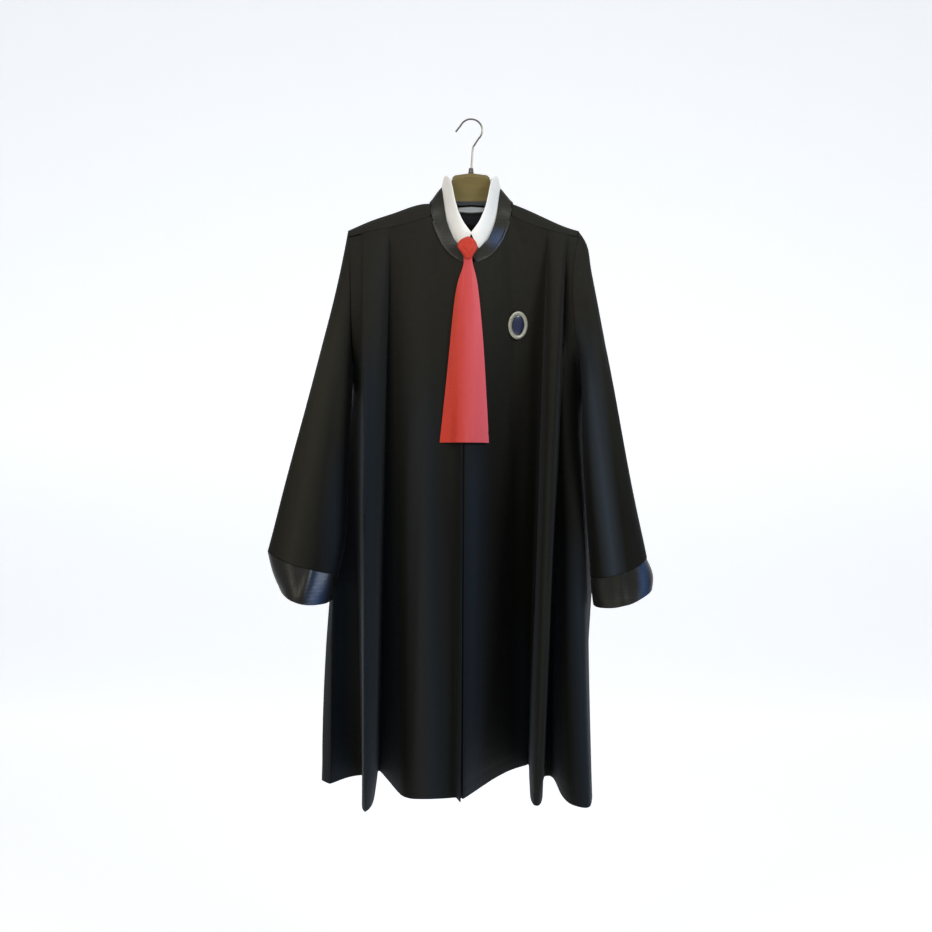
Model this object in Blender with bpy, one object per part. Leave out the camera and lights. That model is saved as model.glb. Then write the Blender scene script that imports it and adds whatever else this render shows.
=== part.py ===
"""A lawyer's gown on its hanger, with its white collar, red neckerchief and badge.

X runs to the right as the gown is seen from the front, the front faces -Y and Z is up.
The origin is the inside top of the hanger's hook. Tables are in millimetres, and a
depth is how far a point stands in front of the origin.
"""

import math

import bmesh
import bpy
import numpy as np

MM = 0.001
FORWARD, BACKWARD = (0, -1, 0), (0, 1, 0)

# How closely the smooth curves between rows follow their neighbours: 0.5 is a full Catmull-Rom curve
PULL = 0.32

# Cloth thicknesses and the gap kept at every seam
CLOTH = 2.0
SATIN = 2.4
COLLAR_CLOTH = 1.2
SEAM = 1.0

# Levels
UNDERARM_Z = -490.0
HEM_Z = -1320.0
BACK_YOKE_Z = -356.5

# The armhole loop: its middle, half height and half depth
ARMHOLE_Z = -356.5
ARMHOLE_HALF_HEIGHT = 133.5
ARMHOLE_HALF_DEPTH = 50.0
ROUNDNESS = 0.75
FRONT_SEAM_TURN = 30.0
BACK_SEAM_TURN = -90.0
SEAM_TURN = 1.7

# Where the armholes lie across the body: z, x
ARMHOLE_X = {
    "left": ((-490, -234), (-450, -234.5), (-400, -234.5), (-340, -235.5), (-260, -238.5), (-223, -244)),
    "right": ((-490, 220), (-472, 214), (-423, 203), (-356, 197), (-290, 200), (-241, 206.5), (-223, 209)),
}

# The shoulder's ridge from the neck outwards: x, z
RIDGE = {
    "left": ((-244, -223), (-176, -198), (-102, -173), (-80, -169), (0, -160)),
    "right": ((0, -160), (80, -169), (134, -196), (176, -213.5), (209, -227)),
}

# The fronts' top line, along the neck seam and then the yoke seam: x, depth, z
TOP_LINE = {
    "left": (
        (-241.5, 29.7, -240.9), (-200, 41, -233.5), (-158.8, 43, -226), (-120, 42.5, -216), (-92, 38, -207),
        (-79, 31, -200), (-72.4, 40, -224), (-60.1, 56, -254), (-46.2, 65, -275.5), (-34.5, 70, -287),
        (-24, 74.6, -294), (-16.5, 77.4, -299), (0, 79, -302),
    ),
    "right": (
        (-40, 77, -303), (0, 78.5, -302), (17, 76.5, -299), (34.5, 70, -287), (46.2, 65, -275.5),
        (60.1, 56, -254), (72.4, 40, -224), (79, 31, -200), (92, 38, -208.5), (120, 42.5, -221),
        (150, 43, -231), (185, 41, -238), (206.5, 29.7, -240.9),
    ),
}

# Fold lines of the fronts from the centre to the side: name, top x, chest depth, hem x, hem depth.
# Each runs straight from the seam to the hem, so the folds fan out as they fall.
LEFT_FOLDS = (
    ("centre edge", -16.5, 82, -21.2, 137.5),
    ("centre turn", -24.0, 79, -28.5, 112.0),
    ("plain", -34.5, 75, -37.5, 113.0),
    ("plain", -46.2, 71, -50.0, 116.0),
    ("plain", -60.1, 66, -72.2, 120.0),
    ("plain", -72.4, 61.5, -93.0, 121.0),
    ("yoke corner", -79.0, 59.5, -110.0, 120.0),
    ("plain", -92.0, 57, -120.0, 114.0),
    ("plain", -111.9, 53, -131.8, 102.0),
    ("fall", -135.0, 49, -145.7, 65.0),
    ("fall", -148.0, 46.5, -166.0, 0.0),
    ("fall", -155.5, 44, -184.4, -55.0),
    ("valley", -159.5, 40.5, -191.0, -62.0),
    ("band", -162.0, 47.0, -189.0, -13.5),
    ("band", -174.0, 50, -183.8, 83.5),
    ("band", -193.0, 50, -183.0, 137.5),
    ("band", -204.0, 49, -186.3, 172.0),
    ("ridge", -212.5, 46, -193.3, 194.0),
)
RIGHT_FOLDS = (
    ("underlap", -40.0, 70, -45.0, 100.0),
    ("underlap", -26.0, 73, -29.0, 102.0),
    ("centre", -12.5, 82, -15.7, 120.0),
    ("plain", 4.0, 81, -6.2, 102.0),
    ("plain", 17.0, 78, 11.3, 65.0),
    ("plain", 34.5, 73.5, 29.5, 26.0),
    ("plain", 46.2, 70, 48.4, -13.5),
    ("plain", 60.1, 65.5, 72.1, -55.0),
    ("plain", 72.4, 61, 88.0, -76.0),
    ("yoke corner", 79.0, 58.5, 97.0, -86.0),
    ("plain", 92.0, 55, 105.0, -93.0),
    ("plain", 126.0, 47, 117.0, -104.0),
    ("valley", 149.0, 40.5, 122.3, -106.0),
    ("band", 152.0, 47.5, 114.8, 26.0),
    ("band", 158.5, 49, 111.5, 120.0),
    ("band", 164.5, 50, 114.4, 154.0),
    ("ridge", 170.5, 50, 121.0, 161.0),
    ("band", 176.0, 49.5, 127.0, 155.0),
    ("band", 181.0, 48, 134.2, 122.0),
    ("fall", 185.0, 45, 146.0, -13.5),
    ("second valley", 188.5, 40, 152.5, -27.0),
)

# Columns between the last fold and the side seam: share of the way at the top, hem x, hem depth, hem z
LEFT_SIDE = (
    (0.22, -202.0, 165.0, -1320.0),
    (0.42, -214.0, 40.0, -1322.0),
    (0.60, -225.7, -78.0, -1333.0),
    (0.76, -258.6, -57.0, -1333.0),
    (0.90, -284.2, -16.5, -1333.0),
)
RIGHT_SIDE = (
    (0.18, 165.8, -20.0, -1320.0),
    (0.34, 170.5, 83.5, -1320.0),
    (0.50, 181.0, 148.0, -1320.0),
    (0.66, 204.8, 172.0, -1320.0),
    (0.80, 221.5, 164.0, -1320.0),
    (0.91, 234.0, 70.0, -1320.0),
)

# How far the hidden underlap lies behind, and how far below the seams the folds reach their chest depth:
# the least and most, and how much for each millimetre of depth
UNDERLAP_DROP = 9.0
CHEST_DROP = 40.0, 110.0
CHEST_DROP_FOR_DEPTH = 6.0

# Side seams from the underarm to the hem: z, x, depth
SIDE_SEAM = {
    "left": (
        (-490, -234, 0), (-550, -238, -32), (-600, -245, -50), (-640, -251, -62), (-800, -277, -76),
        (-990, -296, -74), (-1150, -304, -58), (-1333, -304, -43.5),
    ),
    "right": (
        (-490, 220, 0), (-550, 221.5, -36), (-640, 235, -54), (-800, 254, -60), (-890, 257, -60),
        (-960, 243, -59), (-1010, 238, -58), (-1150, 241, -54), (-1320, 243, -50),
    ),
}

# The back under its yoke
BACK_HEM_DEPTH = -140.0
BACK_PLEATS = 5
BACK_PLEAT_DEPTH = 18.0
BACK_TOP_DEPTH = -51.0
BACK_COLUMNS = 35
ARMHOLE_ROWS = 5
SIDE_ROWS = 6

# The yoke from one armhole round the back of the neck to the other:
# x at the start, x at the back seam, and the angle at which the column starts over the shoulder
YOKE_LEFT = (
    (-240, -240, 30), (-200, -205, 30), (-158.8, -165, 30), (-120, -128, 30), (-92, -103, 30),
    (-79, -90, 28),
)
YOKE_NECK = (
    (-80.5, 16, -184, -87, 17), (-80, 0, -169, -79, 0), (-72, -24, -168, -65, -22),
    (-45, -42, -174, -42, -45),
    (0, -48, -177, 0, -55), (45, -42, -174, 42, -45), (72, -24, -168, 65, -22), (80, 0, -169, 79, 0),
    (80.5, 16, -184, 87, 17),
)
YOKE_RIGHT = (
    (79, 90, 28), (92, 100, 30), (120, 124, 30), (150, 153, 30), (185, 186, 30), (206.5, 205, 30),
)
YOKE_ROWS = 9

# Stand collar, right half from the front end to the back: seam x, depth, z, top x, depth, z
STAND_COLLAR = (
    (14, 77.5, -299.5, 9, 72, -281),
    (34.5, 70, -287, 17, 68, -273.5),
    (46.5, 65, -275.5, 25, 63, -261),
    (60, 56, -254, 34, 55, -249),
    (72.4, 40, -223, 45.5, 43, -218.5),
    (79, 31, -200, 50.5, 35, -198),
    (80.5, 16, -184, 55.5, 19, -165),
    (80, 0, -169, 59, 1, -140),
    (72, -24, -168, 53, -21, -135),
    (45, -42, -174, 33, -39, -136),
    (0, -48, -177, 0, -44.5, -137),
)
COLLAR_LIFT = 1.9

# White collar, right half: fold x, depth, z, leaf edge x, depth, z, stand's foot x, depth, z
WHITE_COLLAR = (
    (-1.0, 66, -240, 15, 63, -270, 6, 58, -277),
    (8, 65, -229, 21, 59, -262, 22, 56, -273),
    (17.9, 63, -214.5, 30.5, 50, -248, 38, 51, -261),
    (28.5, 57, -189, 41.5, 38.5, -222, 55, 42, -237),
    (34.8, 50, -164.5, 47, 33, -202, 65, 29, -209),
    (40.5, 41, -142, 51.5, 21, -173, 70, 13, -183),
    (50, 22, -133.5, 55, 9, -157, 72, 3, -174),
    (53.5, 3, -130, 57.5, -2, -152, 70, -6, -172.5),
    (48.5, -17, -128.5, 54, -19.5, -153, 63, -20.5, -172.5),
    (29.5, -32, -128, 33.5, -35.5, -153, 39, -36.5, -174),
    (0, -37, -128, 0, -40, -153, 0, -42.5, -175),
)
FOLD_WIDTH = 4.6
FOLD_RISE = 1.8
LEAF_CLEARANCE = 5.0
NECK_AXIS_DEPTH = 15.0

# Sleeves: outer x, z and inner x, z of each ring, its depth, half depth, sag and fold height
SLEEVE = {
    "left": (
        (-244.0, -223.0, -234.0, -490.0, 0, 50, 0, 0),
        (-259.8, -303.5, -236.0, -532.6, 13, 45, 0, 1),
        (-273.1, -366.3, -237.0, -574.8, 21, 43, 0, 2),
        (-295.7, -459.7, -239.3, -637.6, 28, 42, 0, 3),
        (-319.5, -552.0, -241.6, -699.9, 30, 43, 0, 4),
        (-343.0, -643.8, -242.1, -761.8, 35, 44, 1, 5),
        (-367.5, -735.2, -241.5, -823.4, 40, 45, 2, 5),
        (-382.2, -795.8, -249.0, -864.4, 43, 46, 4, 5),
        (-398.5, -856.4, -258.6, -901.4, 45, 48, 6, 5),
    ),
    "right": (
        (209.0, -223.0, 220.0, -490.0, 0, 50, 0, 0),
        (229.3, -258.0, 224.5, -532.5, 8, 44, 0, 1),
        (246.5, -332.1, 226.0, -574.7, 14, 43, 0, 2),
        (265.4, -442.4, 226.8, -640.5, 20, 42, 0, 3),
        (283.3, -541.9, 230.1, -699.9, 26, 42, 0, 4),
        (297.4, -634.9, 233.5, -762.9, 31, 42, 2, 5),
        (315.5, -729.4, 236.0, -823.8, 35, 42, 4, 5),
        (327.8, -796.1, 238.6, -866.8, 38, 43, 7, 5),
        (339.2, -870.5, 241.3, -908.8, 40, 44, 10, 4),
    ),
}
CUFF = {
    "left": (
        (-398.5, -856.4, -258.6, -901.4, 45, 48, 6, 5),
        (-389.0, -899.2, -264.0, -928.5, 48, 57, 9, 4),
        (-374.1, -930.2, -271.6, -953.6, 50, 64, 12, 3),
    ),
    "right": (
        (339.2, -870.5, 241.3, -908.8, 40, 44, 10, 4),
        (352.6, -905.6, 242.9, -939.0, 42, 48, 11, 3),
        (349.3, -928.9, 246.6, -964.2, 44, 54, 12, 2),
    ),
}
SLEEVE_LOBES = 4
FOLD_PHASE = {"left": 0.6, "right": 2.2}
SLEEVE_RINGS = 10
CUFF_RINGS = 4
RING_POINTS = 24

# Neckerchief: knot sections z, x, half width, depth, half thickness, and blade rows z, left x, right x
KNOT = (
    (-252.5, -6.6, 5.5, 76, 3.5),
    (-259.5, -6.7, 13.5, 78, 6.5),
    (-268.5, -6.9, 20.0, 79.5, 8.0),
    (-279.5, -6.6, 14.5, 80.8, 7.5),
    (-290.0, -6.4, 8.6, 81.6, 6.0),
)
BLADE = (
    (-290.6, -14.6, 1.8),
    (-303.0, -14.4, 2.6),
    (-318.7, -18.8, 7.4),
    (-345.5, -28.8, 13.3),
    (-420.0, -37.0, 20.5),
    (-489.0, -43.5, 25.8),
    (-570.0, -52.2, 30.4),
    (-647.0, -60.5, 34.6),
)
BLADE_CROWN = 0.6
BLADE_GAP = 0.5
BLADE_COLUMNS = 10
BLADE_ROWS = 12

# Badge: its middle, half sizes and the ring's width
BADGE_X, BADGE_Z = 90.6, -414.5
BADGE_HALF_WIDTH, BADGE_HALF_HEIGHT = 21.5, 27.5
BADGE_RIM = 9.0
BADGE_RIM_HEIGHT = 3.2
BADGE_CENTRE_HEIGHT = 2.2
BADGE_POINTS = 32
BADGE_GAP = 0.3

# Neck label inside the back of the yoke
LABEL_WIDTH, LABEL_HEIGHT, LABEL_THICKNESS = 43.0, 19.0, 1.0
LABEL_TOP_Z = -180.0
LABEL_GAP = 0.8

# Hanger: x, top z, bottom z, half depth
HANGER = (
    (-214, -220.7, -231, 8), (-205, -215.7, -235, 14), (-176, -204.2, -229, 16), (-130, -188.7, -216, 16),
    (-100, -183.7, -205, 15), (-75, -186.0, -206, 13), (-55, -183.0, -203, 11), (-45, -160.0, -187, 11),
    (-39, -128.0, -172, 11), (-37, -111.5, -169, 11), (-32, -108.5, -167, 11), (0, -107.5, -165, 11),
    (32, -108.5, -167, 11), (37, -111.5, -169, 11), (39, -128.0, -172, 11), (45, -160.0, -187, 11),
    (55, -183.0, -203, 11), (75, -187.0, -208, 13), (100, -189.7, -213, 15), (134, -201.7, -229, 16),
    (172, -217.0, -241, 16), (188, -225.2, -246, 13), (195, -230.2, -241, 8),
)
FERRULE_RADIUS, FERRULE_TOP, FERRULE_BOTTOM = 4.2, -97.0, -107.2
WIRE_RADIUS = 1.8
HOOK_RADIUS = 22.5
HOOK_TURN = (152.0, -48.0)
HOOK_TIP = (-30.6, -24.0)
SHANK = ((9.6, -46.0), (4.8, -53.5), (3.2, -60.0), (2.2, -75.0), (0.8, -96.7))


def point(x, depth, z):
    """A point in metres from millimetres across, in front and up."""
    return np.array((x, -depth, z)) * MM


def through(rows, count):
    """The rows, resampled to this many along a smooth curve through them."""
    rows = np.array(rows, float)
    padded = np.vstack([2 * rows[0] - rows[1], rows, 2 * rows[-1] - rows[-2]])
    found = []
    for place in np.linspace(0, len(rows) - 1, count):
        i = min(int(place), len(rows) - 2)
        t = place - i
        a, b, c, d = padded[i : i + 4]
        leave, arrive = PULL * (c - a), PULL * (d - b)
        found.append(
            (2 * t**3 - 3 * t**2 + 1) * b + (t**3 - 2 * t**2 + t) * leave
            + (3 * t**2 - 2 * t**3) * c + (t**3 - t**2) * arrive
        )
    return np.array(found)


def along(table, value, column):
    """A table's column at this value of its first column."""
    table = np.array(table, float)
    order = np.argsort(table[:, 0])
    return float(np.interp(value, table[order, 0], table[order, column]))


def armhole(side, turn):
    """A point of the armhole loop: 0 degrees at the shoulder, 90 at the front, 180 under the arm."""
    angle = math.radians(turn)
    z = ARMHOLE_Z + ARMHOLE_HALF_HEIGHT * math.cos(angle)
    depth = math.copysign(abs(math.sin(angle)) ** ROUNDNESS, math.sin(angle)) * ARMHOLE_HALF_DEPTH
    return np.array((along(ARMHOLE_X[side], z, 1), depth, z))


def seam_x(side, turn):
    """How far across the armhole lies at this turn, on the straight runs between the panels' rows."""
    back, front = back_turns()[::-1], front_turns()
    over = np.linspace(BACK_SEAM_TURN, FRONT_SEAM_TURN, YOKE_ROWS)[1:-1]
    knots = np.concatenate([back, over, front])
    across = [armhole(side, knot)[0] for knot in knots]
    return float(np.interp((turn + 180) % 360 - 180, knots, across))


def front_turns():
    """The turns round the armhole of a front's rows."""
    return np.linspace(FRONT_SEAM_TURN, 180, ARMHOLE_ROWS + 1)


def back_turns():
    """The turns round the armhole of the back's rows."""
    return np.linspace(BACK_SEAM_TURN, -180, ARMHOLE_ROWS - 1)


def material(name, colour, roughness, metallic=0.0):
    """A plain finish."""
    made = bpy.data.materials.new(name)
    made.use_nodes = True
    shader = made.node_tree.nodes["Principled BSDF"]
    shader.inputs["Base Color"].default_value = (*colour, 1)
    shader.inputs["Roughness"].default_value = roughness
    shader.inputs["Metallic"].default_value = metallic
    made.diffuse_color = (*colour, 1)
    return made


def solid(name, points, faces, finish):
    """An object from points in metres, with its faces turned outwards."""
    mesh = bpy.data.meshes.new(name)
    mesh.from_pydata([tuple(p) for p in points], [], faces)
    work = bmesh.new()
    work.from_mesh(mesh)
    bmesh.ops.recalc_face_normals(work, faces=work.faces)
    work.to_mesh(mesh)
    work.free()
    mesh.shade_smooth()
    mesh.set_sharp_from_angle(angle=math.radians(50))
    mesh.materials.append(finish)
    made = bpy.data.objects.new(name, mesh)
    bpy.context.scene.collection.objects.link(made)
    return made


def grid_normals(grid, ring):
    """The unit normal at each point of a grid."""
    down = np.gradient(grid, axis=0)
    if ring:
        across = (np.roll(grid, -1, axis=1) - np.roll(grid, 1, axis=1)) / 2
    else:
        across = np.gradient(grid, axis=1)
    normal = np.cross(across, down)
    return normal / np.maximum(np.linalg.norm(normal, axis=2, keepdims=True), 1e-12)


def wall(name, grid, thickness, finish, ring=False, inward=1, edges=()):
    """A closed wall whose outer face is the grid and whose inner face lies a thickness behind it.

    Edges are pairs of an index into the grid and the ways in which the wall is thick there.
    """
    grid = np.array(grid, float)
    rows, columns = grid.shape[:2]
    ways = inward * grid_normals(grid, ring)
    for index, way in edges:
        ways[index] = way
    inner = grid + thickness * MM * ways
    points = np.concatenate([grid.reshape(-1, 3), inner.reshape(-1, 3)])
    half = rows * columns
    steps = columns if ring else columns - 1
    faces = []
    for i in range(rows - 1):
        for j in range(steps):
            k = (j + 1) % columns
            a, b, c, d = i * columns + j, i * columns + k, (i + 1) * columns + k, (i + 1) * columns + j
            faces += [(a, b, c, d), (d + half, c + half, b + half, a + half)]
    for j in range(steps):
        k = (j + 1) % columns
        last = (rows - 1) * columns
        faces += [(j, j + half, k + half, k), (last + k, last + k + half, last + j + half, last + j)]
    if not ring:
        for i in range(rows - 1):
            a, b = i * columns, (i + 1) * columns
            faces += [(a, b, b + half, a + half)]
            a, b = a + columns - 1, b + columns - 1
            faces += [(b, a, a + half, b + half)]
    return solid(name, points, faces, finish)


def loft(name, sections, finish):
    """A closed body through rings of points, with flat ends."""
    sections = np.array(sections, float)
    rows, columns = sections.shape[:2]
    faces = [tuple(range(columns)), tuple(reversed(range((rows - 1) * columns, rows * columns)))]
    for i in range(rows - 1):
        for j in range(columns):
            k = (j + 1) % columns
            faces.append((i * columns + k, i * columns + j, (i + 1) * columns + j, (i + 1) * columns + k))
    return solid(name, sections.reshape(-1, 3), faces, finish)


def armhole_ways(points):
    """The ways from points of an armhole's loop to its middle, so that all that meets there lies flush."""
    ways = -np.array(points, float) + (0, 0, ARMHOLE_Z * MM)
    ways[..., 0] = 0
    return ways / np.linalg.norm(ways, axis=-1, keepdims=True)


def side_ways(points, side):
    """The same for the edge along the armhole and then the side seam, where a wall is thick across."""
    ways = np.tile((1.0 if side == "left" else -1.0, 0, 0), (len(points), 1))
    ways[:-SIDE_ROWS] = armhole_ways(points[:-SIDE_ROWS])
    return ways


def side_shares():
    """The shares of the side seam's height at which the fronts and the back have rows."""
    return np.linspace(0, 1, SIDE_ROWS + 1)[1:]


def edge_line(side, turns, nudge):
    """The armhole's edge down to the underarm and then the side seam, moved forward by the nudge."""
    points = [armhole(side, turn) for turn in turns]
    shares = side_shares()
    bottom = SIDE_SEAM[side][-1][0]
    for share in shares:
        z = UNDERARM_Z + (bottom - UNDERARM_Z) * share
        points.append(np.array((along(SIDE_SEAM[side], z, 1), along(SIDE_SEAM[side], z, 2), z)))
    points = np.array(points)
    points[:, 1] += nudge
    return points


def front_grid(side, folds, side_columns):
    """The outer face of a front: straight fold lines, then columns that turn back to the side seam."""
    shares = side_shares()
    edge = edge_line(side, front_turns(), SEAM / 2)
    edge[0] = armhole(side, FRONT_SEAM_TURN + SEAM_TURN)
    rest = (edge[: ARMHOLE_ROWS + 1, 2] - edge[0, 2]) / (edge[ARMHOLE_ROWS, 2] - edge[0, 2])
    columns = []
    for name, top_x, chest_depth, hem_x, hem_depth in folds:
        seam_depth = along(TOP_LINE[side], top_x, 1) - (UNDERLAP_DROP if name == "underlap" else 0)
        top = np.array((top_x, chest_depth, along(TOP_LINE[side], top_x, 2) - SEAM))
        hem = np.array((hem_x, hem_depth, HEM_Z))
        levels = np.concatenate([
            top[2] + (UNDERARM_Z - top[2]) * rest,
            UNDERARM_Z + (HEM_Z - UNDERARM_Z) * shares,
        ])
        share = ((top[2] - levels) / (top[2] - HEM_Z))[:, None]
        line = top * (1 - share) + hem * share
        drop = np.clip(CHEST_DROP_FOR_DEPTH * abs(seam_depth - chest_depth), *CHEST_DROP)
        settled = np.clip((top[2] - levels) / drop, 0, 1)
        line[:, 1] += (seam_depth - chest_depth) * (1 - settled) ** 2
        columns.append(line)
    last = columns[-1]
    spread = np.concatenate([np.zeros(ARMHOLE_ROWS + 1), shares])[:, None]
    for top_share, hem_x, hem_depth, hem_z in side_columns:
        share = np.array((top_share**2, top_share, top_share))
        hanging = last * (1 - share) + edge * share
        hem = np.array((hem_x, hem_depth, hem_z))
        columns.append(hanging * (1 - spread) + (hem + (hanging - hanging[-1]) * (0, 0, 1)) * spread)
    columns.append(edge)
    grid = np.stack(columns, axis=1)
    return refined(grid)


def refined(grid):
    """The grid in metres with a column more between each two, on curves but straight along the top seam."""
    rows = np.stack([through(row, 2 * len(row) - 1) for row in grid])
    rows[0, 1::2] = (grid[0, :-1] + grid[0, 1:]) / 2
    return np.stack([rows[..., 0], -rows[..., 1], rows[..., 2]], axis=-1) * MM


def back_grid():
    """The outer face of the back, from the left side seam to the right one, with its pleats."""
    left = edge_line("left", back_turns(), -SEAM / 2)
    right = edge_line("right", back_turns(), -SEAM / 2)
    left[0, 2] -= SEAM
    right[0, 2] -= SEAM
    columns = []
    for share in np.linspace(0, 1, BACK_COLUMNS):
        hanging = left * (1 - share) + right * share
        top, hem = hanging[0], hanging[-1]
        fall = (top[2] - hanging[:, 2]) / (top[2] - hem[2])
        bulge = 1 - abs(2 * share - 1) ** 5
        pleat = math.sin(2 * math.pi * BACK_PLEATS * share) * bulge
        plane = BACK_TOP_DEPTH + (BACK_HEM_DEPTH + BACK_PLEAT_DEPTH * pleat - BACK_TOP_DEPTH) * fall
        hanging[:, 1] = hanging[:, 1] * (1 - bulge) + plane * bulge
        columns.append(hanging)
    grid = np.stack(columns, axis=1)
    return np.stack([grid[..., 0], -grid[..., 1], grid[..., 2]], axis=-1) * MM


def shoulder_column(start, end_x, start_turn, side, edge=False):
    """A column of the yoke, from its front or neck edge over the shoulder to the back seam."""
    x, depth, z = start
    found = []
    for share in np.linspace(0, 1, YOKE_ROWS):
        turn = start_turn + (BACK_SEAM_TURN - start_turn) * share
        if edge:
            found.append(armhole(side, turn))
            continue
        across = x + (end_x - x) * share
        cosine, sine = math.cos(math.radians(turn)), abs(math.sin(math.radians(turn))) ** ROUNDNESS
        first_cosine = math.cos(math.radians(start_turn))
        first_sine = abs(math.sin(math.radians(start_turn))) ** ROUNDNESS
        last_cosine = math.cos(math.radians(BACK_SEAM_TURN))
        last_sine = abs(math.sin(math.radians(BACK_SEAM_TURN))) ** ROUNDNESS
        ridge = along(RIDGE[side], across, 1)
        if turn > 0:
            height = ridge - (ridge - z) * (1 - cosine) / (1 - first_cosine)
            found.append((across, depth * sine / first_sine, height))
        elif start_turn > 0:
            fall = (1 - cosine) / (1 - last_cosine)
            found.append((across, BACK_TOP_DEPTH * sine / last_sine, ridge + (BACK_YOKE_Z - ridge) * fall))
        else:
            fall = (first_cosine - cosine) / (first_cosine - last_cosine)
            back = (sine - first_sine) / (last_sine - first_sine)
            found.append((across, depth + (BACK_TOP_DEPTH - depth) * back, z + (BACK_YOKE_Z - z) * fall))
    return np.array(found)


def yoke_grid():
    """The outer face of the yoke."""
    columns = []
    for side, rows in (("left", YOKE_LEFT), ("right", YOKE_RIGHT)):
        made = []
        for x, end_x, turn in rows:
            start = (x, along(TOP_LINE[side], x, 1), along(TOP_LINE[side], x, 2))
            made.append(shoulder_column(start, end_x, turn, side, edge=abs(x) > 204))
        columns.append(made)
    neck = [
        shoulder_column((x, depth, z), end_x, turn, "left" if x < 0 else "right")
        for x, depth, z, end_x, turn in YOKE_NECK
    ]
    return refined(np.stack(columns[0] + neck + columns[1], axis=1))


def sleeve_ring(side, row, armhole_share):
    """One ring of a sleeve, through its outer and inner points, with the sag and folds of that level."""
    outer_x, outer_z, inner_x, inner_z, depth, half_depth, sag, fold = row
    found = []
    for step in range(RING_POINTS):
        angle = 2 * math.pi * step / RING_POINTS
        cosine, sine = math.cos(angle), math.sin(angle)
        side_way = (1 + cosine) / 2
        x = inner_x + (outer_x - inner_x) * side_way
        z = inner_z + (outer_z - inner_z) * side_way - sag * sine * sine
        bulge = fold * math.cos(SLEEVE_LOBES * angle + FOLD_PHASE[side])
        out = depth + math.copysign(abs(sine) ** ROUNDNESS, sine) * half_depth + bulge * sine
        found.append(point(x + (seam_x(side, math.degrees(angle)) - x) * armhole_share, out, z))
    return found


def sleeve_grid(side):
    """The outer face of a sleeve, from the armhole to the cuff's seam."""
    rows = through(SLEEVE[side], SLEEVE_RINGS)
    away = -1 if side == "left" else 1
    rings = []
    for i, row in enumerate(rows):
        share = 1.0 if i == 0 else 0.0
        row = row + np.array((away * SEAM * share, 0, away * SEAM * share, 0, 0, 0, 0, 0))
        ring = np.array(sleeve_ring(side, row, share))
        ring[:, 0] += away * SEAM * MM * share
        rings.append(ring)
    return rings


def cuff_grid(side):
    """The outer face of a satin cuff, a seam's gap below the sleeve."""
    rows = through(CUFF[side], CUFF_RINGS)
    rows[0] += (0, -SEAM, 0, -SEAM, 0, 0, 0, 0)
    return [sleeve_ring(side, row, 0) for row in rows]


def mirrored(rows, width):
    """Rows for the left half, with every x turned over, then those of the right half from back to front."""
    rows = np.array(rows, float)
    left = rows.copy()
    left[:, ::3] *= -1
    return np.vstack([left, rows[-2::-1]])[:, :width]


def stand_collar_grid():
    """The outer face of the stand collar, from the seam to its top edge."""
    rows = through(mirrored(STAND_COLLAR, 6), 37)
    seam, top = rows[:, :3], rows[:, 3:]
    lift = COLLAR_LIFT / np.linalg.norm(top - seam, axis=1)[:, None]
    seam = seam + (top - seam) * lift
    levels = [seam + (top - seam) * share for share in np.linspace(0, 1, 4)]
    return [[point(*p) for p in level] for level in levels]


def white_collar_grid():
    """The outer face of the white collar: leaf, fold and stand."""
    rows = mirrored(WHITE_COLLAR, 9)
    rows = through(rows, 41)
    fold, edge, foot = rows[:, :3], rows[:, 3:6], rows[:, 6:]
    inward = np.array((0, NECK_AXIS_DEPTH, 0)) - fold
    inward[:, 2] = 0
    inward /= np.linalg.norm(inward, axis=1)[:, None]
    up = np.array((0, 0, 1))
    levels = [
        edge,
        edge * 0.5 + fold * 0.5,
        fold,
        fold + inward * FOLD_WIDTH / 2 + up * FOLD_RISE,
        fold + inward * FOLD_WIDTH - up * 0.4,
        edge + inward * LEAF_CLEARANCE - up,
        foot,
    ]
    return [[point(*p) for p in level] for level in levels]


def knot(finish):
    """The neckerchief's knot."""
    sections = []
    for z, x, half_width, depth, half_thickness in through(KNOT, 8):
        ring = []
        for step in range(16):
            angle = 2 * math.pi * step / 16
            cosine, sine = math.cos(angle), math.sin(angle)
            across = math.copysign(abs(cosine) ** 0.8, cosine) * half_width
            out = math.copysign(abs(sine) ** 0.8, sine) * half_thickness
            ring.append(point(x + across, depth + out, z))
        sections.append(ring)
    loft("jabot_knot", sections, finish)


def depth_under(fronts, x, z):
    """How far forward the fronts stand at this place: the foremost of those that reach it."""
    found = [on_panel(front, x * MM, z * MM) for front in fronts]
    least = min(miss for _, _, miss in found)
    return max(-place[1] / MM for place, _, miss in found if miss < least + 0.1)


def blade(fronts, finish):
    """The neckerchief's hanging blade, lying on the fronts."""
    grid = []
    for z, left, right in through(BLADE, BLADE_ROWS):
        places = np.linspace(left, right, BLADE_COLUMNS)
        step = (right - left) / (BLADE_COLUMNS - 1)
        nearby = np.linspace(-step, step, 13)
        unders = [max(depth_under(fronts, x + along_row, z) for along_row in nearby) for x in places]
        row = []
        for x, under, share in zip(places, unders, np.linspace(-1, 1, BLADE_COLUMNS)):
            crown = BLADE_CROWN * (1 - share**2)
            row.append(point(x, under + SATIN + BLADE_GAP + crown, z))
        grid.append(row)
    wall("jabot_blade", grid, SATIN, finish)


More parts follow.
